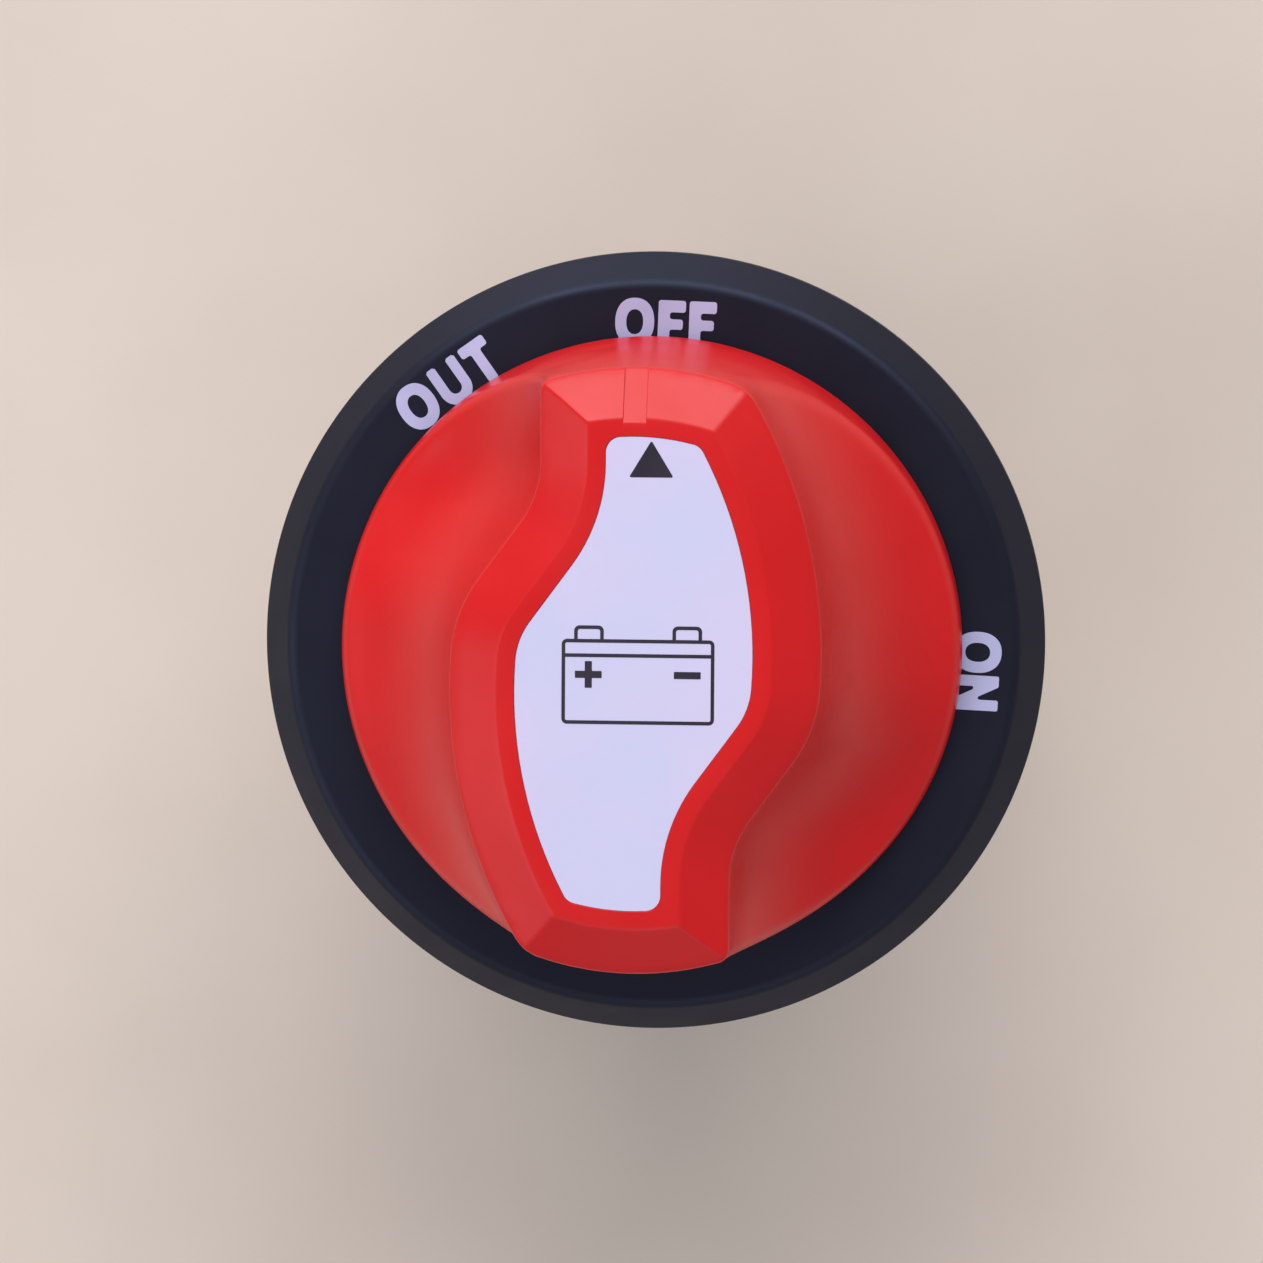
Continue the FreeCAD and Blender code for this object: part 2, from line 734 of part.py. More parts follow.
def make_detent_spring():
    """A leaf bent to a nose that drops into the rotor's scallops."""

    def leaf(sketch):
        polygon(
            sketch,
            [
                ("leaf_x", "-leaf_half_length"),
                ("leaf_back_x", "-leaf_half_length"),
                ("leaf_back_x", "-leaf_bend_back_y"),
                ("leaf_nose_back_x", 0),
                ("leaf_back_x", "leaf_bend_back_y"),
                ("leaf_back_x", "leaf_half_length"),
                ("leaf_x", "leaf_half_length"),
                ("leaf_x", "leaf_bend_y"),
                ("leaf_nose_x", 0),
                ("leaf_x", "-leaf_bend_y"),
            ],
        )

    plate(new_body("detent_spring"), "leaf", leaf, "leaf_low_z", "Sizes.leaf_height")


def make_rotor():
    body = new_body("rotor")
    turn_profile(
        body,
        "Revolution",
        "rotor_disc",
        [
            (0, "rotor_low_z"),
            ("rotor_radius", "rotor_low_z"),
            ("rotor_radius", "rotor_disc_z"),
            ("journal_radius", "rotor_disc_z"),
            ("journal_radius", "shaft_seal_groove_low_z"),
            ("shaft_seal_groove_radius", "shaft_seal_groove_low_z"),
            ("shaft_seal_groove_radius", "shaft_seal_groove_high_z"),
            ("journal_radius", "shaft_seal_groove_high_z"),
            ("journal_radius", "journal_top_z"),
            (0, "journal_top_z"),
        ],
    )
    sketch = new_sketch(body, "ear_profile", "XZ_Plane")
    polygon(
        sketch,
        [
            ("ear_inner", "ear_root_z"),
            ("ear_outer", "ear_root_z"),
            ("ear_outer", "ear_low_z"),
            ("ear_lip_inner", "ear_low_z"),
            ("ear_lip_inner", "ear_lip_z"),
            ("ear_inner", "ear_lip_z"),
        ],
    )
    ear = pad(body, "ear", sketch, "Sizes.ear_width", middle=True)
    polar_copies(body, "ears", [ear], 2)
    sketch = new_sketch(body, "stop_pin_outline", "XY_Plane", "rotor_disc_z")
    circle(sketch, "stop_pin_radius", "-stop_pin_circle")
    pad(body, "stop_pin", sketch, "Sizes.stop_pin_height")
    cut_rotor(body)


def cut_rotor(body):
    """The stem's socket, the spring's recess, the detent scallops and the clip's slot."""
    sketch = new_sketch(body, "socket_outline", "XY_Plane", "journal_top_z")
    rectangle(sketch, "-socket_half", "socket_half", "-socket_half", "socket_half")
    pocket(body, "socket", sketch, "Sizes.socket_depth")
    sketch = new_sketch(body, "recess_outline", "XY_Plane", "rotor_low_z")
    circle(sketch, "spring_recess_radius")
    pocket(body, "spring_recess", sketch, "Sizes.spring_recess_depth", reverse=True)
    sketch = new_sketch(body, "scallop_outline", "XY_Plane", "rotor_disc_z")
    for angle in ("detent_off_angle", "detent_on_angle", "detent_out_angle"):
        circle_at_angle(sketch, "detent_radius", "detent_circle", angle)
    pocket(body, "scallops", sketch, "Sizes.rotor_disc_z - Sizes.rotor_low_z")
    sketch = new_sketch(body, "clip_slot_outline", "XY_Plane", "clip_slot_top_z")
    horseshoe(sketch, "clip_slot_inner", "clip_slot_outer", "clip_bend_y", "-clip_slot_end")
    pocket(body, "clip_slot", sketch, "Sizes.clip_slot_height")


def horseshoe(sketch, inner, outer, bend_y, end_y):
    """A band that runs up one side, round a half circle and down the other."""
    centre = FreeCAD.Vector(0, number(bend_y), 0)
    for radius in (inner, outer):
        arc = Part.ArcOfCircle(Part.Circle(centre, Z_AXIS, number(radius)), 0, math.pi)
        index = sketch.addGeometry(arc, False)
        dimension(sketch, "Radius", index, 0, formula(radius), number(radius))
        place_point(sketch, index, 3, 0, bend_y)
    feet = []
    for arc, radius in ((0, inner), (1, outer)):
        for point, sign in ((1, ""), (2, "-")):
            feet.append(straight_leg(sketch, arc, point, number(sign + radius), end_y))
    for first, second in ((feet[0], feet[2]), (feet[1], feet[3])):
        ends = Part.LineSegment(sketch.getPoint(first, 2), sketch.getPoint(second, 2))
        closing = sketch.addGeometry(ends, False)
        sketch.addConstraint(Sketcher.Constraint("Coincident", closing, 1, first, 2))
        sketch.addConstraint(Sketcher.Constraint("Coincident", closing, 2, second, 2))


def straight_leg(sketch, arc, point, x, end_y):
    """A line down to end_y from one end of a half circle."""
    top = sketch.getPoint(arc, point)
    leg = sketch.addGeometry(Part.LineSegment(top, FreeCAD.Vector(x, number(end_y), 0)), False)
    sketch.addConstraint(Sketcher.Constraint("Tangent", arc, point, leg, 1))
    sketch.addConstraint(Sketcher.Constraint("Vertical", leg))
    dimension(sketch, "DistanceY", leg, 2, formula(end_y), number(end_y))
    return leg


def make_shaft_seal():
    ring = ring_seal("shaft_seal", "shaft_seal")
    ring.Label = "shaft_seal"
    parts.append(ring)


def make_contact_bridge():
    def bar(sketch):
        half = number("bridge_half_width")
        for place, start in (("stud_spacing", 0), ("-stud_spacing", math.pi)):
            round_end = Part.Circle(FreeCAD.Vector(0, number(place), 0), Z_AXIS, half)
            index = sketch.addGeometry(Part.ArcOfCircle(round_end, start, start + math.pi), False)
            dimension(sketch, "Radius", index, 0, "Sizes.bridge_half_width", half)
            place_point(sketch, index, 3, 0, place)
        for first, second in ((0, 1), (1, 0)):
            ends = Part.LineSegment(sketch.getPoint(first, 2), sketch.getPoint(second, 1))
            side = sketch.addGeometry(ends, False)
            sketch.addConstraint(Sketcher.Constraint("Tangent", first, 2, side, 1))
            sketch.addConstraint(Sketcher.Constraint("Tangent", second, 1, side, 2))

    def tip(sketch):
        circle(sketch, "bridge_tip_radius", 0, "stud_spacing")

    plate(new_body("contact_bridge"), "bar", bar, "bridge_low_z", "Sizes.bridge_thickness")
    tips = new_body("bridge_tips")
    plate(tips, "tip", tip, "bridge_tip_low_z", "Sizes.tip_thickness", count=2)


def make_contact_spring():
    body = new_body("spring_seat")
    turn_profile(
        body,
        "Revolution",
        "seat",
        [
            (0, "seat_low_z"),
            ("seat_radius", "seat_low_z"),
            ("seat_radius", "seat_top_z"),
            ("seat_spigot_radius", "seat_top_z"),
            ("seat_spigot_radius", "seat_spigot_z"),
            (0, "seat_spigot_z"),
        ],
    )
    body = new_body("contact_spring")
    sketch = new_sketch(body, "wire_section", "XZ_Plane")
    circle(sketch, "spring_wire", "spring_ring", "spring_low_z")
    coil = body.newObject("PartDesign::AdditiveHelix", "coil")
    coil.Profile = sketch
    coil.ReferenceAxis = (sketch, ["V_Axis"])
    coil.Mode = "pitch-height-angle"
    coil.setExpression("Pitch", "Sizes.spring_pitch")
    coil.setExpression("Height", "Sizes.spring_height")


def make_knob_clip():
    """A U of spring wire whose legs lie in the grooves of the stem."""
    body = new_body("knob_clip")
    path = new_sketch(body, "wire_path", "XY_Plane", "clip_z")
    leg_x = number("clip_leg_x")
    bend = Part.Circle(FreeCAD.Vector(0, number("clip_bend_y"), 0), Z_AXIS, leg_x)
    path.addGeometry(Part.ArcOfCircle(bend, 0, math.pi), False)
    dimension(path, "Radius", 0, 0, "Sizes.clip_leg_x", leg_x)
    place_point(path, 0, 3, 0, "clip_bend_y")
    straight_leg(path, 0, 1, leg_x, "-clip_end_y")
    straight_leg(path, 0, 2, -leg_x, "-clip_end_y")
    section = new_sketch(body, "wire_section", "XZ_Plane", "clip_end_y")
    circle(section, "clip_wire", "clip_leg_x", "clip_z")
    wire = body.newObject("PartDesign::AdditivePipe", "wire")
    wire.Profile = section
    wire.Spine = (path, [])
    path.Visibility = False


def grip_side(sketch, sign, inset=None, end_radius=None):
    """Draws one side of the grip, a chain of two arcs, a slant, a hollow arc and the neck.

    The sign -1 draws the other side, which is the first one turned half a turn. The chain
    lies inset inwards, and ends on a circle of end_radius or else past the knob's edge.
    Returns the indices of the long arc and of the neck line.
    """
    shift = SIZES[inset] if inset else 0.0
    first = sketch.GeometryCount
    for curve in grip_curves(sign, shift, end_radius):
        sketch.addGeometry(curve, False)
    for a, a_point, b, b_point in ((0, 1, 1, 2), (1, 1, 2, 1), (2, 2, 3, 1), (3, 2, 4, 1)):
        ends = (first + a, a_point, first + b, b_point)
        sketch.addConstraint(Sketcher.Constraint("Tangent", *ends))
    sketch.addConstraint(Sketcher.Constraint("Vertical", first + 4))
    less = f" - Sizes.{inset}" if inset else ""
    more = f" + Sizes.{inset}" if inset else ""
    for index, name, change in ((0, "side", less), (1, "elbow", less), (3, "hollow", more)):
        value = SIZES[f"grip_{name}_arc"] + (shift if change == more else -shift)
        dimension(sketch, "Radius", first + index, 0, f"Sizes.grip_{name}_arc{change}", value)
    flip = "" if sign > 0 else "-"
    long_centre, elbow_centre, hollow_centre = grip_centres()
    for index, kind, expression, value in (
        (0, "DistanceX", "(Sizes.grip_side_x - Sizes.grip_side_arc)", long_centre.x),
        (0, "DistanceY", "Sizes.grip_side_y", long_centre.y),
        (1, "DistanceY", "Sizes.grip_elbow_y", elbow_centre.y),
        (3, "DistanceX", "(Sizes.grip_neck_x + Sizes.grip_hollow_arc)", hollow_centre.x),
        (3, "DistanceY", "Sizes.grip_hollow_y", hollow_centre.y),
    ):
        dimension(sketch, kind, first + index, 3, flip + expression, sign * value)
    return first, first + 4


def grip_curves(sign, shift, end_radius):
    """The five curves of one side of the grip, from the long arc to the neck."""
    side, elbow, hollow = SIZES["grip_side_arc"], SIZES["grip_elbow_arc"], SIZES["grip_hollow_arc"]
    long_centre, elbow_centre, hollow_centre = grip_centres()
    lean = angle_of(elbow_centre - long_centre)
    reach = hollow_centre - elbow_centre
    slant = angle_of(reach) + math.acos((elbow + hollow) / reach.Length)
    head, foot = grip_ends(shift, end_radius)
    top = angle_of(head - long_centre)
    spans = [
        (long_centre, side - shift, lean, top),
        (elbow_centre, elbow - shift, slant, lean),
        (hollow_centre, hollow + shift, slant + math.pi, math.pi),
    ]
    turn = 0 if sign > 0 else math.pi
    arcs = [
        Part.ArcOfCircle(Part.Circle(centre * sign, Z_AXIS, radius), start + turn, end + turn)
        for centre, radius, start, end in spans
    ]
    slant_line = Part.LineSegment(arcs[1].StartPoint, arcs[2].StartPoint)
    neck_line = Part.LineSegment(arcs[2].EndPoint, foot * sign)
    return [arcs[0], arcs[1], slant_line, arcs[2], neck_line]


def angle_of(vector):
    return math.atan2(vector.y, vector.x)


def grip_ends(shift, end_radius):
    """Where one side begins at +Y and ends at -Y."""
    centre = grip_centres()[0]
    radius = SIZES["grip_side_arc"] - shift
    neck_x = SIZES["grip_neck_x"] - shift
    if end_radius:
        end = SIZES[end_radius]
        foot_y = -math.sqrt(end**2 - neck_x**2)
        return meeting_point(centre, radius, end), FreeCAD.Vector(neck_x, foot_y, 0)
    end_y = SIZES["grip_end_y"]
    head_x = centre.x + math.sqrt(radius**2 - (end_y - centre.y) ** 2)
    return FreeCAD.Vector(head_x, end_y, 0), FreeCAD.Vector(neck_x, -end_y, 0)


def grip_centres():
    """Centres of the grip side's long arc, elbow and hollow."""
    side, elbow, hollow = SIZES["grip_side_arc"], SIZES["grip_elbow_arc"], SIZES["grip_hollow_arc"]
    long_centre = FreeCAD.Vector(SIZES["grip_side_x"] - side, SIZES["grip_side_y"], 0)
    drop = SIZES["grip_elbow_y"] - SIZES["grip_side_y"]
    along = math.sqrt((side - elbow) ** 2 - drop**2)
    elbow_centre = long_centre + FreeCAD.Vector(along, drop, 0)
    hollow_centre = FreeCAD.Vector(SIZES["grip_neck_x"] + hollow, SIZES["grip_hollow_y"], 0)
    return [long_centre, elbow_centre, hollow_centre]


def grip_outline(sketch, inset, end_radius):
    """The closed outline: both sides, joined at the ends by arcs about the knob's axis."""
    sides = [grip_side(sketch, sign, inset, end_radius) for sign in (1, -1)]
    for (arc_index, _), (_, neck_index) in (sides, sides[::-1]):
        head = sketch.getPoint(arc_index, 2)
        foot = sketch.getPoint(neck_index, 2)
        circle_about_axis = Part.Circle(FreeCAD.Vector(), Z_AXIS, SIZES[end_radius])
        cap = Part.ArcOfCircle(circle_about_axis, angle_of(head), angle_of(foot))
        index = sketch.addGeometry(cap, False)
        sketch.addConstraint(Sketcher.Constraint("Coincident", index, 3, -1, 1))
        sketch.addConstraint(Sketcher.Constraint("Coincident", index, 1, arc_index, 2))
        sketch.addConstraint(Sketcher.Constraint("Coincident", index, 2, neck_index, 2))
        dimension(sketch, "Radius", index, 0, f"Sizes.{end_radius}", SIZES[end_radius])


def meeting_point(centre, radius, end_radius):
    """Where a circle about centre meets one about the origin, on the +X +Y side."""
    distance = centre.Length
    along = (end_radius**2 - radius**2 + distance**2) / (2 * distance)
    across = math.sqrt(end_radius**2 - along**2)
    unit = centre * (1 / distance)
    first = unit * along + FreeCAD.Vector(-unit.y, unit.x, 0) * across
    second = unit * along - FreeCAD.Vector(-unit.y, unit.x, 0) * across
    return first if first.y > second.y else second


def make_knob():
    body = new_body("knob")
    turn_profile(
        body,
        "Revolution",
        "blank",
        [
            (0, "knob_base_z"),
            ("knob_base_radius", "knob_base_z"),
            ("knob_shoulder_radius", "knob_shoulder_z"),
            (0, "knob_shoulder_z"),
        ],
    )
    cut_scoops(body)
    bevel_grip(body)
    hollow_knob(body)
    cut_knob_top(body)


def cut_scoops(body):
    """Cuts a finger scoop along each side of the grip, its section moved along the side."""
    path = new_sketch(body, "grip_side", "XY_Plane", "scoop_top_z")
    arc_index, neck_index = grip_side(path, 1)
    end_y = SIZES["grip_end_y"]
    dimension(path, "DistanceY", arc_index, 2, "Sizes.grip_end_y", end_y)
    dimension(path, "DistanceY", neck_index, 2, "-Sizes.grip_end_y", -end_y)
    section = new_sketch(body, "scoop_section", "XZ_Plane", "-grip_end_y")
    start_x = path.getPoint(arc_index, 2).x
    top, radius = SIZES["scoop_top_z"], SIZES["scoop_radius"]
    reach, clear = start_x + SIZES["scoop_reach"], SIZES["scoop_clear_z"]
    bottom = FreeCAD.Vector(start_x + radius, top - radius, 0)
    centre = FreeCAD.Vector(start_x + radius, top, 0)
    cove = Part.ArcOfCircle(Part.Circle(centre, Z_AXIS, radius), math.pi, 1.5 * math.pi)
    corners = [
        bottom,
        FreeCAD.Vector(reach, top - radius, 0),
        FreeCAD.Vector(reach, clear, 0),
        FreeCAD.Vector(start_x, clear, 0),
        FreeCAD.Vector(start_x, top, 0),
    ]
    section.addGeometry(cove, False)
    for start, end in zip(corners, corners[1:]):
        section.addGeometry(Part.LineSegment(start, end), False)
    for index, kind in ((1, "Horizontal"), (2, "Vertical"), (3, "Horizontal"), (4, "Vertical")):
        section.addConstraint(Sketcher.Constraint(kind, index))
    for a in (1, 2, 3):
        section.addConstraint(Sketcher.Constraint("Coincident", a, 2, a + 1, 1))
    section.addConstraint(Sketcher.Constraint("Tangent", 4, 2, 0, 1))
    section.addConstraint(Sketcher.Constraint("Tangent", 0, 2, 1, 1))
    dimension(section, "Radius", 0, 0, "Sizes.scoop_radius", radius)
    dimension(section, "DistanceY", 0, 3, "Sizes.scoop_top_z", top)
    rise = "(Sizes.grip_end_y - Sizes.grip_side_y)"
    start = f"Sizes.grip_side_x - Sizes.grip_side_arc + sqrt(Sizes.grip_side_arc ^ 2 - {rise} ^ 2)"
    dimension(section, "DistanceX", 4, 1, start, start_x)
    dimension(section, "DistanceX", 1, 2, f"{start} + Sizes.scoop_reach", reach)
    dimension(section, "DistanceY", 2, 2, "Sizes.scoop_clear_z", clear)
    scoop = body.newObject("PartDesign::SubtractivePipe", "scoop")
    scoop.Profile = section
    scoop.Spine = (path, [])
    scoop.Mode = "Fixed"
    path.Visibility = False
    section.Visibility = False
    polar_copies(body, "scoops", [scoop], 2)


def bevel_grip(body):
    """Builds the bevelled top of the grip up from its foot to the land."""
    foot = new_sketch(body, "bevel_foot", "XY_Plane", "knob_shoulder_z")
    grip_outline(foot, "bevel_foot_inset", "bevel_foot_end_radius")
    land = new_sketch(body, "land_outline", "XY_Plane", "knob_land_z")
    grip_outline(land, "bevel_width", "land_end_radius")
    bevel = body.newObject("PartDesign::AdditiveLoft", "bevel")
    bevel.Profile = foot
    bevel.Sections = [land]
    bevel.Ruled = True
    foot.Visibility = False
    land.Visibility = False


def names_of_edges(body, test):
    edges = body.Tip.Shape.Edges
    return [f"Edge{i}" for i, edge in enumerate(edges, start=1) if test(edge)]


def dress(body, kind, name, edges, size_name, size):
    """Adds a Fillet or Chamfer on named edges of the body's newest feature."""
    base = body.Tip
    feature = body.newObject(f"PartDesign::{kind}", name)
    feature.Base = (base, edges)
    feature.setExpression(size_name, size)
    base.Visibility = False
    return feature


def hollow_knob(body):
    """Opens the knob from below and leaves a hub for the stem, stiffened by two ribs."""
    sketch = new_sketch(body, "cavity_outline", "XY_Plane", "knob_base_z")
    grip_outline(sketch, "cavity_inset", "cavity_end_radius")
    depth = "Sizes.cavity_top_z - Sizes.knob_base_z"
    pocket(body, "cavity", sketch, depth, reverse=True)
    for name, radius, top in (
        ("under_recess", "under_recess_radius", "under_recess_top_z"),
        ("sleeve_clearance", "sleeve_clearance_radius", "hub_low_z"),
    ):
        sketch = new_sketch(body, name + "_outline", "XY_Plane", "knob_base_z")
        circle(sketch, radius)
        pocket(body, name, sketch, f"Sizes.{top} - Sizes.knob_base_z", reverse=True)

    def hub(sketch):
        circle(sketch, "hub_radius")

    def rib_across(sketch):
        rectangle(sketch, "-rib_reach_x", "rib_reach_x", "-rib_half", "rib_half")

    def rib_along(sketch):
        rectangle(sketch, "-rib_half", "rib_half", "-rib_reach_y", "rib_reach_y")

    plate(body, "hub", hub, "hub_low_z", "Sizes.knob_screw_seat_z - Sizes.hub_low_z")
    rib_height = "Sizes.knob_screw_seat_z - Sizes.rib_low_z"
    plate(body, "rib_across", rib_across, "rib_low_z", rib_height)
    plate(body, "rib_along", rib_along, "rib_low_z", rib_height)
    sketch = new_sketch(body, "socket_outline", "XY_Plane", "hub_low_z")
    rectangle(sketch, "-socket_half", "socket_half", "-socket_half", "socket_half")
    pocket(body, "socket", sketch, "Sizes.hub_socket_depth", reverse=True)


def cut_knob_top(body):
    """The screw's hole, the label's recess and the indicator groove."""
    for name, radius, depth in (
        ("screw_hole", "knob_screw_hole_radius", "knob_screw_hole_depth"),
        ("screw_pocket", "knob_screw_pocket_radius", "knob_screw_pocket_depth"),
    ):
        sketch = new_sketch(body, name + "_outline", "XY_Plane", "knob_land_z")
        circle(sketch, radius)
        pocket(body, name, sketch, f"Sizes.{depth}")
    sketch = new_sketch(body, "label_recess_outline", "XY_Plane", "knob_land_z")
    grip_outline(sketch, "recess_inset", "recess_end_radius")
    pocket(body, "label_recess", sketch, "Sizes.label_recess_depth")
    doc.recompute()
    corners = names_of_edges(body, is_recess_corner)
    dress(body, "Fillet", "recess_corners", corners, "Radius", "Sizes.label_corner")
    sketch = new_sketch(body, "indicator_profile", "YZ_Plane")
    inner, outer = "indicator_inner_y", "indicator_outer_y"
    polygon(
        sketch,
        [
            (outer, "indicator_outer_z"),
            (outer, "scoop_clear_z"),
            (inner, "scoop_clear_z"),
            (inner, "indicator_inner_z"),
        ],
    )
    pocket(body, "indicator", sketch, "Sizes.indicator_width", middle=True)


def is_upright(edge, height):
    box = edge.BoundBox
    return box.XLength < 0.01 and box.YLength < 0.01 and abs(box.ZLength - height) < 0.001


def is_recess_corner(edge):
    start = edge.Vertexes[0].Point
    far = math.hypot(start.x, start.y) > SIZES["recess_end_radius"] - 0.05
    return is_upright(edge, SIZES["label_recess_depth"]) and far


def make_knob_label():
    body = new_body("knob_label")

    def outline(sketch):
        grip_outline(sketch, "label_inset", "label_end_radius")

    plate(body, "label", outline, "label_low_z", "Sizes.label_thickness")
    doc.recompute()

    def is_label_corner(edge):
        start = edge.Vertexes[0].Point
        far = math.hypot(start.x, start.y) > SIZES["label_end_radius"] - 0.05
        return is_upright(edge, SIZES["label_thickness"]) and far

    corners = names_of_edges(body, is_label_corner)
    dress(body, "Fillet", "label_corners", corners, "Radius", "Sizes.label_corner")


def make_knob_stem():
    """A square key from the knob's hub into the rotor, grooved for the clip."""
    body = new_body("knob_stem")

    def square(sketch):
        rectangle(sketch, "-stem_half", "stem_half", "-stem_half", "stem_half")

    plate(body, "key", square, "stem_low_z", "Sizes.stem_top_z - Sizes.stem_low_z")
    doc.recompute()
    foot = names_of_edges(body, lambda edge: edge.BoundBox.ZMax < SIZES["stem_low_z"] + 0.01)
    dress(body, "Chamfer", "lead_in", foot, "Size", "Sizes.stem_lead_in")
    sketch = new_sketch(body, "groove_profile", "XZ_Plane")
    low, high = "stem_groove_low_z", "stem_groove_high_z"
    rectangle(sketch, "stem_groove_x", "stem_groove_outer", low, high)
    groove = pocket(body, "groove", sketch, "3 * Sizes.stem_half", middle=True)
    polar_copies(body, "grooves", [groove], 2)
    sketch = new_sketch(body, "hole_outline", "XY_Plane", "stem_top_z")
    circle(sketch, "stem_hole_radius")
    pocket(body, "screw_hole", sketch, "Sizes.stem_hole_depth")


def make_knob_screw():
    body = new_body("knob_screw")

    def head(sketch):
        circle(sketch, "knob_screw_head_radius")

    plate(body, "head", head, "knob_screw_seat_z", "Sizes.knob_screw_head_height")
    sketch = new_sketch(body, "shank_outline", "XY_Plane", "knob_screw_seat_z")
    circle(sketch, "knob_screw_radius")
    length = "Sizes.knob_screw_seat_z - Sizes.knob_screw_tip_z"
    pad(body, "shank", sketch, length, reverse=True)
    long, thick = "knob_screw_cross_length", "knob_screw_cross"
    for name, x, y in (("cross_a", long, thick), ("cross_b", thick, long)):
        sketch = new_sketch(body, name + "_outline", "XY_Plane", "knob_screw_top_z")
        rectangle(sketch, "-" + x, x, "-" + y, y)
        pocket(body, name, sketch, "Sizes.knob_screw_cross_depth")


def export_parts():
    """Checks every object, then writes each part's STEP."""
    os.makedirs("parts", exist_ok=True)
    for item in doc.Objects:
        if "Invalid" in item.State or "Error" in item.State:
            raise SystemExit(f"{item.Label}: {item.State}")
    for part in parts:
        shape = part.Shape
        if shape.isNull() or not shape.isValid():
            raise SystemExit(f"{part.Label}: null or invalid shape")
        shape.exportStep(f"parts/{part.Label}.step")
        print(part.Label, len(shape.Solids), round(shape.Volume, 2))


make_sheet()
make_bezel()
make_gasket()
make_housing()
make_terminal_base()
make_base_seal()
make_base_screws()
make_stud("terminal_stud_a", "")
make_stud("terminal_stud_b", "-")
make_stud_hardware()
make_detent_spring()
make_rotor()
make_shaft_seal()
make_contact_bridge()
make_contact_spring()
make_knob_clip()
make_knob()
make_knob_label()
make_knob_stem()
make_knob_screw()
doc.recompute()
export_parts()
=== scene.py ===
import json
import math

import bmesh
import bpy
import numpy as np
from mathutils import Matrix, Vector


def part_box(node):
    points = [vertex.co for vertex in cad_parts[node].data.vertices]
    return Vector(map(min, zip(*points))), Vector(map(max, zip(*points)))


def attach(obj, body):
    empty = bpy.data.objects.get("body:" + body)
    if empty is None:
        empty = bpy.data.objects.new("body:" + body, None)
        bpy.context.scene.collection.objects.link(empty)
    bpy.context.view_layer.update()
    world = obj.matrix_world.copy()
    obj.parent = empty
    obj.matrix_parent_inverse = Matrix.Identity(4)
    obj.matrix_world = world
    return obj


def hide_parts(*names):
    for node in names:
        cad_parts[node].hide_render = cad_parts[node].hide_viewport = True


# Battery switch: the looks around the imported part. Metres, the same frame as the part:
# +Z towards the person turning the knob, +Y towards OFF, z = 0 at the panel's face.

MM = 0.001
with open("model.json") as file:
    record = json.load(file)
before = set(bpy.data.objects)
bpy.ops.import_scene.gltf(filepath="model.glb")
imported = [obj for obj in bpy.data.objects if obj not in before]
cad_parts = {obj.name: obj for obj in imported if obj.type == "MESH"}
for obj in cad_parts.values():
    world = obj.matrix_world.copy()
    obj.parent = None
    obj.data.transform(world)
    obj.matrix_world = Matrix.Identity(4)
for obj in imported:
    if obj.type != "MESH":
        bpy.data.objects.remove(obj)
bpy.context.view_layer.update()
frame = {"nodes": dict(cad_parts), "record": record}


# ---------------------------------------------------------------- materials


def node(tree, kind, **inputs):
    """Adds a shader node and sets its inputs by name, with underscores for spaces."""
    made = tree.nodes.new(kind)
    for name, value in inputs.items():
        made.inputs[name.replace("_", " ")].default_value = value
    return made


def material(name, color, roughness, metallic=0.0, **inputs):
    """A Principled material with its tree, shader and object coordinates."""
    made = bpy.data.materials.new(name)
    made.use_nodes = True
    tree = made.node_tree
    shader = tree.nodes["Principled BSDF"]
    shader.inputs["Base Color"].default_value = (*color, 1)
    shader.inputs["Roughness"].default_value = roughness
    shader.inputs["Metallic"].default_value = metallic
    for key, value in inputs.items():
        shader.inputs[key.replace("_", " ")].default_value = value
    coordinates = tree.nodes.new("ShaderNodeTexCoord")
    return made, tree, shader, coordinates.outputs["Object"]


def noise(tree, place, scale, detail=4.0, stretch=None):
    """A noise texture in metres, optionally stretched along an axis."""
    if stretch:
        mapping = tree.nodes.new("ShaderNodeMapping")
        mapping.inputs["Scale"].default_value = stretch
        tree.links.new(place, mapping.inputs["Vector"])
        place = mapping.outputs["Vector"]
    made = node(tree, "ShaderNodeTexNoise", Scale=scale, Detail=detail)
    tree.links.new(place, made.inputs["Vector"])
    return made.outputs["Fac"]


def ramp(tree, value, low, high, low_at=0.35, high_at=0.65):
    """Maps a value to a colour or grey between two stops."""
    made = tree.nodes.new("ShaderNodeValToRGB")
    first, second = made.color_ramp.elements
    first.position, second.position = low_at, high_at
    first.color = (*low, 1) if isinstance(low, tuple) else (low, low, low, 1)
    second.color = (*high, 1) if isinstance(high, tuple) else (high, high, high, 1)
    tree.links.new(value, made.inputs["Fac"])
    return made.outputs["Color"]


def bump(tree, shader, value, strength, distance):
    """Raises the surface by a value, up to a distance in metres."""
    made = node(tree, "ShaderNodeBump", Strength=strength, Distance=distance)
    tree.links.new(value, made.inputs["Height"])
    tree.links.new(made.outputs["Normal"], shader.inputs["Normal"])


def plastic(name, color, darker, roughness, grain, depth, **inputs):
    """Moulded plastic: slight colour mottling, uneven gloss and a fine grain."""
    made, tree, shader, place = material(name, color, roughness, **inputs)
    mottle = noise(tree, place, 90.0)
    tree.links.new(ramp(tree, mottle, darker, color), shader.inputs["Base Color"])
    patch = noise(tree, place, 140.0)
    rough = ramp(tree, patch, roughness - 0.04, roughness + 0.05)
    tree.links.new(rough, shader.inputs["Roughness"])
    bump(tree, shader, noise(tree, place, grain, detail=6.0), 0.35, depth)
    return made


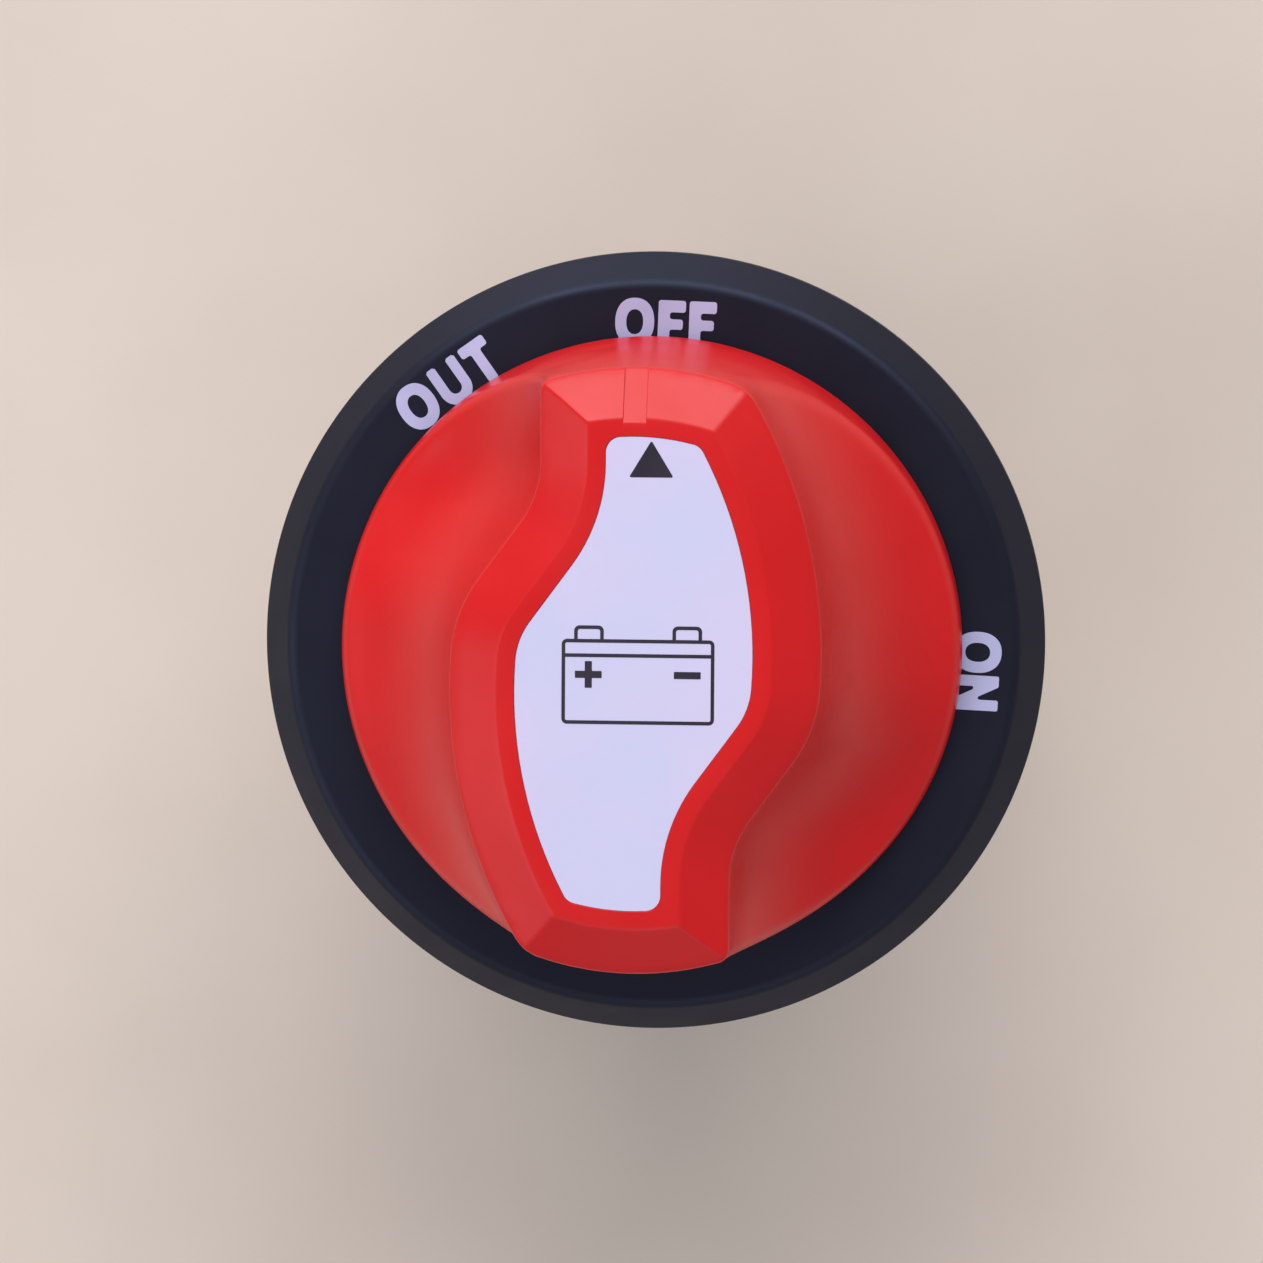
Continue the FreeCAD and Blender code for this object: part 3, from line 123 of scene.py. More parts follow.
def metal(name, color, darker, roughness, stretch=None, grain=2500.0):
    """Bare metal with fine working marks and slight tarnish."""
    made, tree, shader, place = material(name, color, roughness, metallic=1.0)
    tarnish = noise(tree, place, 220.0)
    tree.links.new(ramp(tree, tarnish, darker, color), shader.inputs["Base Color"])
    marks = noise(tree, place, grain, detail=3.0, stretch=stretch)
    rough = ramp(tree, marks, roughness - 0.08, roughness + 0.12)
    tree.links.new(rough, shader.inputs["Roughness"])
    bump(tree, shader, marks, 0.15, 0.00001)
    return made


def make_materials():
    """One material for each slot of the record, and the two inks."""
    return {
        "bezel_black": plastic(
            "bezel_black", (0.0085, 0.0078, 0.0122), (0.0070, 0.0063, 0.0100), 0.46, 9000.0,
            0.00001,
            Specular_Tint=(0.50, 0.60, 1.0, 1.0), Specular_IOR_Level=0.45,
        ),
        "housing_black": plastic(
            "housing_black", (0.022, 0.022, 0.025), (0.017, 0.017, 0.020), 0.52, 6000.0, 0.00003
        ),
        "rubber": plastic(
            "rubber", (0.018, 0.018, 0.018), (0.012, 0.012, 0.012), 0.72, 5000.0, 0.00003
        ),
        "steel": metal("steel", (0.62, 0.61, 0.59), (0.50, 0.49, 0.47), 0.30),
        "spring_steel": metal("spring_steel", (0.50, 0.49, 0.47), (0.38, 0.37, 0.36), 0.32),
        "plated_copper": metal("plated_copper", (0.74, 0.70, 0.62), (0.60, 0.56, 0.49), 0.28),
        "brass": metal("brass", (0.72, 0.53, 0.26), (0.58, 0.41, 0.20), 0.30),
        "silver": metal("silver", (0.86, 0.85, 0.83), (0.74, 0.73, 0.71), 0.26),
        "copper": metal("copper", (0.78, 0.42, 0.28), (0.60, 0.30, 0.20), 0.30),
        "rotor_nylon": plastic(
            "rotor_nylon", (0.62, 0.60, 0.52), (0.56, 0.54, 0.47), 0.46, 5000.0, 0.00002
        ),
        "knob_red": plastic(
            "knob_red", (0.72, 0.0055, 0.0075), (0.68, 0.0045, 0.0060), 0.36, 7000.0, 0.00001,
            Specular_IOR_Level=0.43,
        ),
        "stem_nylon": plastic(
            "stem_nylon", (0.05, 0.05, 0.055), (0.04, 0.04, 0.044), 0.5, 5000.0, 0.00002
        ),
        "legend_ink": plastic(
            "legend_ink", (0.54, 0.56, 0.86), (0.44, 0.45, 0.72), 0.55, 14000.0, 0.000008
        ),
        "label_ink": plastic(
            "label_ink", (0.016, 0.010, 0.024), (0.030, 0.020, 0.040), 0.5, 14000.0, 0.000004
        ),
        "label": plastic(
            "label", (0.73, 0.65, 0.90), (0.66, 0.65, 0.91), 0.48, 12000.0, 0.000006
        ),
    }


def paint_nodes(materials):
    """Gives each carried CAD node its slot's material."""
    for part in frame["record"]["subparts"]:
        target = frame["nodes"][part["node"]]
        target.data.materials.clear()
        target.data.materials.append(materials[part["material_slot"]])


# ---------------------------------------------------------------- shapes


def new_piece(name, body, look, mesh, *replaced, sharp=35.0, level=False):
    """A mesh object in the row frame that rides on a body and stands for CAD nodes."""
    mesh.shade_smooth()
    mesh.set_sharp_from_angle(angle=math.radians(sharp))
    mesh.materials.append(look)
    piece = bpy.data.objects.new(name, mesh)
    bpy.context.scene.collection.objects.link(piece)
    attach(piece, body)
    if level:
        # large faces keep their own normals beside small roundings
        piece.modifiers.new("normals", "WEIGHTED_NORMAL").keep_sharp = True
    if replaced:
        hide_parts(*replaced)
    return piece


def shells(name, parts):
    """One mesh from several closed shells, each a list of rings of points in millimetres.

    A shell's rings have the same count of points and join in order, the last to the first.
    """
    points, faces = [], []
    for rings in parts:
        first, count, turns = len(points), len(rings[0]), len(rings)
        for ring in rings:
            points.extend((x * MM, y * MM, z * MM) for x, y, z in ring)
        for i in range(turns):
            one, two = first + i * count, first + (i + 1) % turns * count
            for j in range(count):
                k = (j + 1) % count
                faces.append((one + j, one + k, two + k, two + j))
    mesh = bpy.data.meshes.new(name)
    mesh.from_pydata(points, [], faces)
    return cleaned(mesh)


def cleaned(mesh):
    """Merges points that coincide and turns every face outwards."""
    work = bmesh.new()
    work.from_mesh(mesh)
    bmesh.ops.remove_doubles(work, verts=work.verts, dist=1e-7)
    bmesh.ops.dissolve_degenerate(work, edges=work.edges, dist=1e-8)
    bmesh.ops.recalc_face_normals(work, faces=work.faces)
    work.to_mesh(mesh)
    work.free()
    return mesh


def level_ring(plan, z):
    """Points of a plan outline at one height."""
    plan = np.asarray(plan, float)
    return np.column_stack([plan, np.full(len(plan), float(z))])


def round_ring(radius, z, angles, centre=(0, 0)):
    """Points of a circle at one height."""
    plan = np.column_stack([np.cos(angles), np.sin(angles)]) * radius + np.array(centre)
    return level_ring(plan, z)


def rounded_path(corners, steps=5):
    """A closed path through corners (x, y, rounding), each rounded with a small arc."""
    path = []
    count = len(corners)
    for i, (x, y, radius) in enumerate(corners):
        here = np.array([x, y], float)
        back = np.array(corners[i - 1][:2]) - here
        on = np.array(corners[(i + 1) % count][:2]) - here
        back_length, on_length = np.linalg.norm(back), np.linalg.norm(on)
        back, on = back / back_length, on / on_length
        half = math.acos(max(-1.0, min(1.0, float(back @ on)))) / 2
        if radius <= 0 or abs(half - math.pi / 2) < 1e-3:
            path.append(here)
            continue
        reach = min(radius / math.tan(half), back_length * 0.49, on_length * 0.49)
        radius = reach * math.tan(half)
        middle = (back + on) / np.linalg.norm(back + on)
        centre = here + middle * radius / math.sin(half)
        first, last = here + back * reach - centre, here + on * reach - centre
        turn = math.atan2(first[0] * last[1] - first[1] * last[0], first @ last)
        for step in range(steps + 1):
            angle = turn * step / steps
            c, s = math.cos(angle), math.sin(angle)
            path.append(centre + [first[0] * c - first[1] * s, first[0] * s + first[1] * c])
    return np.array(path)


def lathe(corners, segments=192, centre=(0, 0), steps=5):
    """Rings of a closed profile of (radius, z, rounding) corners turned about an upright axis."""
    angles = np.linspace(0, 2 * math.pi, segments, endpoint=False)
    profile = rounded_path(corners, steps)
    return [round_ring(radius, z, angles, centre) for radius, z in profile]


def printed(name, outlines, low, high):
    """A thin flat print: closed plan loops, holes included, between two heights."""
    work = bmesh.new()
    for loop in outlines:
        corners = [work.verts.new((x * MM, y * MM, high * MM)) for x, y in loop]
        for i, corner in enumerate(corners):
            work.edges.new((corner, corners[(i + 1) % len(corners)]))
    filled = bmesh.ops.triangle_fill(work, edges=work.edges[:], use_beauty=True)
    faces = [item for item in filled["geom"] if isinstance(item, bmesh.types.BMFace)]
    grown = bmesh.ops.extrude_face_region(work, geom=faces, use_keep_orig=True)
    lower = [item for item in grown["geom"] if isinstance(item, bmesh.types.BMVert)]
    bmesh.ops.translate(work, verts=lower, vec=(0, 0, (low - high) * MM))
    bmesh.ops.recalc_face_normals(work, faces=work.faces)
    mesh = bpy.data.meshes.new(name)
    work.to_mesh(mesh)
    work.free()
    return mesh


def moved(loops, angle, shift):
    """Plan loops turned by an angle in radians, then shifted."""
    c, s = math.cos(angle), math.sin(angle)
    turn = np.array([[c, s], [-s, c]])
    return [np.asarray(loop) @ turn + np.array(shift) for loop in loops]


# ---------------------------------------------------------------- knob

SIDE_ARC, SIDE_CENTRE = 43.0, (-27.2, 1.5)
ELBOW_ARC, ELBOW_Y = 12.0, -0.66
HOLLOW_ARC, HOLLOW_CENTRE = 9.0, (17.15, -17.86)
NECK_X = 8.15
BASE_Z, BASE_RADIUS = 5.0, 27.3
SHOULDER_Z, SHOULDER_RADIUS = 27.6, 25.8
LAND_Z, BEVEL_WIDTH, BEVEL_FOOT = 30.0, 4.13, 0.02
SCOOP_Z, SCOOP_RADIUS = 27.0, 22.0
RECESS_INSET, RECESS_END_RADIUS, RECESS_Z = 5.72, 20.13, 29.65
HEAD_POINTS, SIDE_POINTS, ELBOW_POINTS, SLANT_POINTS = 14, 76, 26, 14
HOLLOW_POINTS, NECK_POINTS, FOOT_POINTS = 32, 18, 14
GROOVE_HALF, GROOVE_FOOT, GROOVE_HEAD = 0.975, (26.6, 26.9), (20.85, 30.23)
POINTER = (1.43, 16.68)
PRINT_X, PRINT_Y = 0.4, -0.62
CONE_SLOPE = (BASE_RADIUS - SHOULDER_RADIUS) / (SHOULDER_Z - BASE_Z)
BEVEL_DROP = LAND_Z - SHOULDER_Z
ELBOW_CENTRE = (
    SIDE_CENTRE[0] + math.sqrt((SIDE_ARC - ELBOW_ARC) ** 2 - (ELBOW_Y - SIDE_CENTRE[1]) ** 2),
    ELBOW_Y,
)


def angle_between(start, end):
    """Direction from one plan point to another, in radians."""
    return math.atan2(end[1] - start[1], end[0] - start[0])


LEAN = angle_between(SIDE_CENTRE, ELBOW_CENTRE)
SLANT = angle_between(ELBOW_CENTRE, HOLLOW_CENTRE) + math.acos(
    (ELBOW_ARC + HOLLOW_ARC) / math.dist(ELBOW_CENTRE, HOLLOW_CENTRE)
)
SLANT_NORMAL = np.array([math.cos(SLANT), math.sin(SLANT)])
SLANT_START = np.array(ELBOW_CENTRE) + ELBOW_ARC * SLANT_NORMAL
SLANT_END = np.array(HOLLOW_CENTRE) - HOLLOW_ARC * SLANT_NORMAL


def on_arc(centre, radius, angles):
    """Points on an arc and their outward normals."""
    out = np.stack([np.cos(angles), np.sin(angles)], axis=-1)
    return np.array(centre) + radius * out, out


def on_line(start, end, count):
    """Points along a line, its end left out, and their normals to the left of it."""
    share = np.linspace(0, 1, count, endpoint=False)[:, None]
    along = np.array(end) - np.array(start)
    normal = np.array([-along[1], along[0]]) / np.linalg.norm(along)
    return np.array(start) + along * share, np.tile(normal, (count, 1))


def spread(start, end, count):
    """Evenly spaced values with the end left out."""
    return np.linspace(start, end, count, endpoint=False)


def corner_centres(inset, end_radius, corner):
    """Centres of the small arcs that round the grip's two corners."""
    reach, swing = end_radius - corner, SIDE_ARC - inset - corner
    distance = math.hypot(*SIDE_CENTRE)
    along = (reach**2 - swing**2 + distance**2) / (2 * distance)
    across = math.sqrt(reach**2 - along**2)
    unit = np.array(SIDE_CENTRE) / distance
    head = unit * along + np.array([unit[1], -unit[0]]) * across
    if head[1] < 0:
        head = unit * along - np.array([unit[1], -unit[0]]) * across
    foot_x = NECK_X - inset - corner
    return head, np.array([foot_x, -math.sqrt(reach**2 - foot_x**2)])


def end_angles(start, end, radius):
    """Angles along the lower end arc, clockwise; points near the groove's sides keep their x."""
    near = GROOVE_HALF + np.array([0.2, 0.12, 0.06, 0.03, 0.01, -0.01, -0.03, -0.06, -0.12, -0.25])
    middle = np.concatenate([near, [0.5, 0.25, 0.0, -0.25, -0.5], -near[::-1]])
    close = np.arcsin(middle / radius) - math.pi / 2
    return np.concatenate([
        spread(start, close[0], 22), close, np.linspace(close[-1], end, 23)[1:-1],
    ])


def grip_outline(inset, end_radius, corner):
    """Points and outward normals round the grip, the same count whatever the inset."""
    side, elbow, hollow = SIDE_ARC - inset, ELBOW_ARC - inset, HOLLOW_ARC + inset
    head, foot = corner_centres(inset, end_radius, corner)
    head_angle, foot_angle = math.atan2(head[1], head[0]), math.atan2(foot[1], foot[0])
    side_top = angle_between(SIDE_CENTRE, head)
    hollow_points, hollow_out = on_arc(
        HOLLOW_CENTRE, hollow, spread(SLANT + math.pi, math.pi, HOLLOW_POINTS)
    )
    shift = -inset * SLANT_NORMAL
    neck = NECK_X - inset
    pieces = [
        on_arc(head, corner, spread(head_angle, side_top, HEAD_POINTS)),
        on_arc(SIDE_CENTRE, side, side_top + (LEAN - side_top) * spread(0, 1, SIDE_POINTS) ** 1.25),
        on_arc(ELBOW_CENTRE, elbow, spread(LEAN, SLANT, ELBOW_POINTS)),
        on_line(SLANT_START + shift, SLANT_END + shift, SLANT_POINTS),
        (hollow_points, -hollow_out),
        on_line((neck, HOLLOW_CENTRE[1]), (neck, foot[1]), NECK_POINTS),
        on_arc(foot, corner, spread(0, foot_angle, FOOT_POINTS)),
        on_arc((0, 0), end_radius, end_angles(foot_angle, head_angle - math.pi, end_radius)),
    ]
    points = np.concatenate([piece[0] for piece in pieces])
    normals = np.concatenate([piece[1] for piece in pieces])
    return np.concatenate([points, -points]), np.concatenate([normals, -normals])


def side_x(y):
    """The grip's right side at height y, and how fast it moves with y."""
    y = np.asarray(y)
    cx, cy = SIDE_CENTRE
    rise = np.clip(y - cy, -42, 42)
    x = cx + np.sqrt(SIDE_ARC**2 - rise**2)
    slope = -rise / (x - cx)
    elbow = y < cy + SIDE_ARC * math.sin(LEAN)
    rise = np.clip(y - ELBOW_Y, -11.9, 11.9)
    ex = ELBOW_CENTRE[0] + np.sqrt(ELBOW_ARC**2 - rise**2)
    x, slope = np.where(elbow, ex, x), np.where(elbow, -rise / (ex - ELBOW_CENTRE[0]), slope)
    slant = y < SLANT_START[1]
    tilt = (SLANT_START[0] - SLANT_END[0]) / (SLANT_START[1] - SLANT_END[1])
    x = np.where(slant, SLANT_END[0] + (y - SLANT_END[1]) * tilt, x)
    slope = np.where(slant, tilt, slope)
    hollow = y < SLANT_END[1]
    rise = np.clip(y - HOLLOW_CENTRE[1], 0, 8.9)
    hx = HOLLOW_CENTRE[0] - np.sqrt(HOLLOW_ARC**2 - rise**2)
    x, slope = np.where(hollow, hx, x), np.where(hollow, rise / (HOLLOW_CENTRE[0] - hx), slope)
    return x, slope


def side_distance(x, y):
    """Distance outside the grip's right side, measured square to it."""
    dx, dy = x - SIDE_CENTRE[0], y - SIDE_CENTRE[1]
    far = np.hypot(dx, dy) - SIDE_ARC
    past_side = dy * math.cos(LEAN) - dx * math.sin(LEAN) < 0
    ex, ey = x - ELBOW_CENTRE[0], y - ELBOW_CENTRE[1]
    far = np.where(past_side, np.hypot(ex, ey) - ELBOW_ARC, far)
    past_elbow = ey * math.cos(SLANT) - ex * math.sin(SLANT) < 0
    on_slant = (x - SLANT_START[0]) * SLANT_NORMAL[0] + (y - SLANT_START[1]) * SLANT_NORMAL[1]
    far = np.where(past_elbow & past_side, on_slant, far)
    hx, hy = x - HOLLOW_CENTRE[0], y - HOLLOW_CENTRE[1]
    past_slant = hy * math.cos(SLANT) - hx * math.sin(SLANT) < 0
    far = np.where(past_slant & (hx < 0), HOLLOW_ARC - np.hypot(hx, hy), far)
    return np.where(hy < 0, x - NECK_X, far)


def round_join(a, b, radius):
    """The part inside both a and b, with the edge between them rounded."""
    outside = np.hypot(np.maximum(a + radius, 0), np.maximum(b + radius, 0))
    return np.minimum(-radius, np.maximum(a, b)) + outside


def scoop(x, y, z):
    """Below zero inside the knob, above it in the finger scoop beside the right side."""
    edge, slope = side_x(y)
    across, below = SCOOP_RADIUS - (x - edge), np.minimum(z - SCOOP_Z, 0)
    reach = np.hypot(across, below)
    steep = across / np.maximum(reach, 1e-9) * slope
    return (SCOOP_RADIUS - reach) / np.sqrt(1 + steep**2)


def knob_body(x, y, z):
    """Below zero inside the knob, zero on its skin, above zero outside it."""
    radius = np.hypot(x, y)
    cone = (radius - BASE_RADIUS + CONE_SLOPE * (z - BASE_Z)) / math.hypot(1, CONE_SLOPE)
    scoops = np.maximum(scoop(x, y, z), scoop(-x, -y, z))
    body = round_join(cone, scoops, 0.8)
    bevel_length = math.hypot(BEVEL_WIDTH, BEVEL_DROP)
    over = BEVEL_WIDTH * (z - SHOULDER_Z)
    sides = np.maximum(side_distance(x, y), side_distance(-x, -y)) + BEVEL_FOOT
    side_bevel = (sides * BEVEL_DROP + over) / bevel_length
    end_bevel = ((radius - SHOULDER_RADIUS + BEVEL_FOOT) * BEVEL_DROP + over) / bevel_length
    top = round_join(round_join(side_bevel, end_bevel, 0.08), z - LAND_Z, 0.1)
    body = round_join(body, top, 0.2)
    body = round_join(body, BASE_Z - z, 0.3)
    run, rise = GROOVE_FOOT[0] - GROOVE_HEAD[0], GROOVE_HEAD[1] - GROOVE_FOOT[1]
    over_groove = ((y - GROOVE_FOOT[0]) * rise + (z - GROOVE_FOOT[1]) * run) / math.hypot(rise, run)
    return round_join(body, np.minimum(GROOVE_HALF - np.abs(x), over_groove), 0.05)


def knob_sections(rays=320, samples=62):
    """Rings of points over the knob's skin, from beside the label down to its underside."""
    foot, normal = grip_outline(0, SHOULDER_RADIUS, 1.7)
    recess, _ = grip_outline(RECESS_INSET, RECESS_END_RADIUS, 1.3)
    inward = recess - foot
    depth = np.linalg.norm(inward, axis=1, keepdims=True)
    inward /= depth
    half = len(foot) // 2
    level = np.array([1.0, 0.0])
    # on the sides the curtain runs straight across; it turns square to the outline at a corner
    weight = np.zeros(half)
    side_end = HEAD_POINTS + SIDE_POINTS
    weight[:HEAD_POINTS] = 1
    weight[HEAD_POINTS:side_end] = 1 - np.clip(np.arange(SIDE_POINTS) / 30, 0, 1)
    weight[side_end + ELBOW_POINTS + SLANT_POINTS + HOLLOW_POINTS + NECK_POINTS:] = 1
    weight = (weight * weight * (3 - 2 * weight))[:, None]
    out = normal[:half] * weight + level * (1 - weight)
    # beside the pointer groove the curtains run parallel to it
    aside = np.clip((np.abs(foot[:half, :1]) - 1.5) / 2.5, 0, 1)
    grooved = (foot[:half, 1:] < -20) & (aside < 1)
    out = np.where(grooved, out * aside + np.array([0.0, -1.0]) * (1 - aside), out)
    out = np.concatenate([out, -out])
    out /= np.linalg.norm(out, axis=1, keepdims=True)
    start_s, start_z = -0.9 * depth[:, 0], 6.0
    dot = (foot * out).sum(1)
    end_s = -dot + np.sqrt(dot**2 + BASE_RADIUS**2 - (foot**2).sum(1)) - 0.8
    last = np.arctan2(end_s - start_s, BASE_Z - start_z)
    angle = last[:, None] * np.linspace(0, 1, rays)
    low, high = np.zeros_like(angle), np.full_like(angle, 45.0)

    def place(reach):
        """Where rays of this reach end: along the curtain, in height and in plan."""
        s = start_s[:, None] + reach * np.sin(angle)
        z = start_z + reach * np.cos(angle)
        plan = foot[:, None] + np.where(
            s[..., None] < 0, -s[..., None] * inward[:, None], s[..., None] * out[:, None]
        )
        return s, z, plan

    for _ in range(23):
        middle = (low + high) / 2
        s, z, plan = place(middle)
        inside = knob_body(plan[..., 0], plan[..., 1], z) < 0
        low, high = np.where(inside, middle, low), np.where(inside, high, middle)
    s, z, plan = place(low)
    ds, dz = np.diff(s, axis=1), np.diff(z, axis=1)
    length = np.hypot(ds, dz)
    heading = np.unwrap(np.arctan2(dz, ds), axis=1)
    turn = np.abs(np.diff(heading, axis=1, prepend=heading[:, :1]))
    cost = length / 1.3 + turn / math.radians(8)
    total = np.concatenate([np.zeros((len(foot), 1)), np.cumsum(cost, axis=1)], axis=1)
    picked = np.empty((len(foot), samples, 3))
    for i in range(len(foot)):
        wanted = np.linspace(0, total[i, -1], samples)
        picked[i, :, 0] = np.interp(wanted, total[i], plan[i, :, 0])
        picked[i, :, 1] = np.interp(wanted, total[i], plan[i, :, 1])
        picked[i, :, 2] = np.interp(wanted, total[i], z[i])
    return picked


def knob_lining(foot_ring):
    """Rings of the knob's underside, cavity, hub, screw hole and label recess."""
    cavity, _ = grip_outline(3.6, 22.0, 1.0)
    inner, _ = grip_outline(4.0, 21.6, 0.7)
    recess, _ = grip_outline(RECESS_INSET, RECESS_END_RADIUS, 1.3)
    recess_lip, _ = grip_outline(RECESS_INSET - 0.05, RECESS_END_RADIUS + 0.05, 1.35)
    outside = np.arctan2(foot_ring[:, 1], foot_ring[:, 0])
    inside = np.arctan2(cavity[:, 1], cavity[:, 0])
    reach = np.hypot(cavity[:, 0], cavity[:, 1])[:, None]
    collar = cavity * np.maximum(reach, 12.5) / reach
    square = np.column_stack([np.cos(inside), np.sin(inside)])
    square *= 4.05 / np.abs(square).max(axis=1, keepdims=True)
    return [
        round_ring(22.7, BASE_Z, outside),
        round_ring(22.5, BASE_Z + 0.2, outside),
        round_ring(22.5, 6.4, outside),
        level_ring(collar, 6.4),
        level_ring(collar, 7.2),
        level_ring(cavity, 7.2),
        level_ring(cavity, 26.5),
        level_ring(inner, 26.9),
        round_ring(8.0, 26.9, inside),
        round_ring(7.6, 26.5, inside),
        round_ring(7.6, 7.5, inside),
        round_ring(7.3, 7.2, inside),
        level_ring(square, 7.2),
        level_ring(square, 20.05),
        round_ring(2.2, 20.05, inside),
        round_ring(2.2, 27.0, inside),
        round_ring(3.9, 27.0, inside),
        round_ring(3.9, RECESS_Z, inside),
        level_ring(recess, RECESS_Z),
        level_ring(recess, LAND_Z - 0.05),
        level_ring(recess_lip, LAND_Z),
    ]


def box_rings(low, high, rounding=0.3):
    """Rings of a box with rounded upright edges, closed at its top and bottom centre."""
    (x0, y0, z0), (x1, y1, z1) = low, high
    corners = [(x0, y0), (x1, y0), (x1, y1), (x0, y1)]
    plan = rounded_path([(x, y, rounding) for x, y in corners], 3)
    middle = np.tile([(x0 + x1) / 2, (y0 + y1) / 2], (len(plan), 1))
    return [
        level_ring(middle, z0), level_ring(plan, z0), level_ring(plan, z1), level_ring(middle, z1),
    ]


def make_knob():
    """The knob as one hollow shell, with its four stiffening ribs."""
    sections = knob_sections()
    rings = [sections[:, i] for i in range(sections.shape[1])]
    rings += knob_lining(rings[-1])
    ribs = [
        box_rings((7.2, -0.8, 9.0), (12.5, 0.8, 27.0)),
        box_rings((-12.5, -0.8, 9.0), (-7.2, 0.8, 27.0)),
        box_rings((-0.8, 7.2, 9.0), (0.8, 22.3, 27.0)),
        box_rings((-0.8, -22.3, 9.0), (0.8, -7.2, 27.0)),
    ]
    mesh = shells("knob_shell", [rings] + ribs)
    new_piece("knob_shell", "knob", materials["knob_red"], mesh, "knob", sharp=32.0)


def make_bezel():
    """The bezel's turned ring and the key under its face."""
    ring = lathe(
        [
            (34.5, 0.0, 0.15), (34.5, 1.2, 0.3), (32.0, 4.2, 1.4), (12.0, 4.2, 0.3),
            (12.0, 2.75, 0.1), (31.6, 2.75, 0.1), (32.95, 1.5, 0.1), (32.95, 1.1, 0.05),
            (32.6, 0.8, 0.1), (32.95, 0.5, 0.05), (32.95, 0.0, 0.1),
        ],
        segments=300,
    )
    key = box_rings((-1.5, 27.0, 1.75), (1.5, 30.0, 2.8), 0.2)
    mesh = shells("bezel_ring", [ring, key])
    new_piece("bezel_ring", "base", materials["bezel_black"], mesh, "front_bezel", level=True)


def oval(width, height, centre, count=64, power=2.25):
    """A superellipse loop, a little squarer than an ellipse."""
    angles = np.linspace(0, 2 * math.pi, count, endpoint=False)
    c, s = np.cos(angles), np.sin(angles)
    x = np.sign(c) * np.abs(c) ** (2 / power) * width / 2 + centre[0]
    y = np.sign(s) * np.abs(s) ** (2 / power) * height / 2 + centre[1]
    return np.column_stack([x, y])


def soft(corners, rounding=0.22):
    """A loop through corners that all have the same rounding."""
    return rounded_path([(x, y, rounding) for x, y in corners], 3)


def letter_o(width=3.42):
    """A capital O from its left edge; this and the other letters stand on y = 0."""
    middle = (width / 2, 2.0)
    return [oval(width, 4.2, middle), oval(width - 1.94, 2.18, middle, 48)]


def letter_f():
    return [soft([(0, 0), (1.02, 0), (1.02, 1.45), (2.18, 1.45), (2.18, 2.35), (1.02, 2.35),
                  (1.02, 2.96), (2.4, 2.96), (2.4, 4.0), (0, 4.0)])]


def letter_n():
    return [soft([(0, 0), (0.95, 0), (0.95, 2.3), (2.12, 0), (3.08, 0), (3.08, 4.0), (2.13, 4.0),
                  (2.13, 1.7), (0.96, 4.0), (0, 4.0)], 0.16)]


def letter_u():
    turn = np.linspace(math.pi, 2 * math.pi, 25)
    bowl = np.column_stack([1.48 + 1.48 * np.cos(turn), 1.42 + 1.5 * np.sin(turn)])
    hollow = np.column_stack([1.48 + 0.58 * np.cos(turn), 1.5 + 0.6 * np.sin(turn)])[::-1]
    left = [(0.0, 3.82), (0.18, 4.0), (0.72, 4.0), (0.9, 3.82)]
    right = [(2.06, 3.82), (2.24, 4.0), (2.78, 4.0), (2.96, 3.82)]
    return [np.concatenate([bowl, right[::-1], hollow, left[::-1]])]


def letter_t():
    return [soft([(0.84, 0), (1.78, 0), (1.78, 3.02), (2.62, 3.02), (2.62, 4.0), (0, 4.0),
                  (0, 3.02), (0.84, 3.02)])]


def make_legends():
    """OFF, ON and OUT on the bezel's face: straight words, their tops outwards."""
    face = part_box("front_bezel")[1].z / MM
    off = [(letter_o(), 0.12), (letter_f(), 3.88), (letter_f(), 6.6)]
    on = [(letter_o(3.62), 0), (letter_n(), 3.85)]
    out = [(letter_o(), 0.05), (letter_u(), 3.97), (letter_t(), 7.36)]
    words = [
        ("legend_off", off, 9.0, 88.1, -1.9, 30.4),
        ("legend_on", on, 6.93, -3.85, -92.6, 30.6),
        ("legend_out", out, 10.0, 128.6, 35.6, 31.1),
    ]
    for name, letters, width, place, tilt, top in words:
        loops = [
            loop + np.array([start - width / 2, 0]) for shape, start in letters for loop in shape
        ]
        # the word's middle lies on the radius at place, its cap line at the distance top
        tilt, place = math.radians(tilt), math.radians(place)
        middle = (top - 2.0) * np.array([math.cos(place), math.sin(place)])
        up = np.array([-math.sin(tilt), math.cos(tilt)])
        loops = moved(loops, tilt, middle - 2.0 * up)
        mesh = printed(name, loops, face - 0.01, face + 0.02)
        new_piece(name, "base", materials["legend_ink"], mesh)


def block(x0, y0, x1, y1, rounding):
    """A rounded rectangular loop."""
    corners = [(x0, y0), (x1, y0), (x1, y1), (x0, y1)]
    return rounded_path([(x, y, rounding) for x, y in corners], 6)


def outline(x0, y0, x1, y1, line, rounding):
    """The outer and inner loops of a rectangular frame drawn with one line width."""
    inner = block(x0 + line, y0 + line, x1 - line, y1 - line, max(rounding - line, 0.05))
    return [block(x0, y0, x1, y1, rounding), inner]


def arch(left, foot, width, height, rounding):
    """An open hoop from its left foot over the top to its right foot."""
    loop = block(left, foot - height, left + width, foot + height, rounding)
    upper = loop[loop[:, 1] > foot]
    upper = upper[np.argsort(np.arctan2(upper[:, 1] - foot, upper[:, 0] - left - width / 2))[::-1]]
    return np.concatenate([[(left, foot)], upper, [(left + width, foot)]])


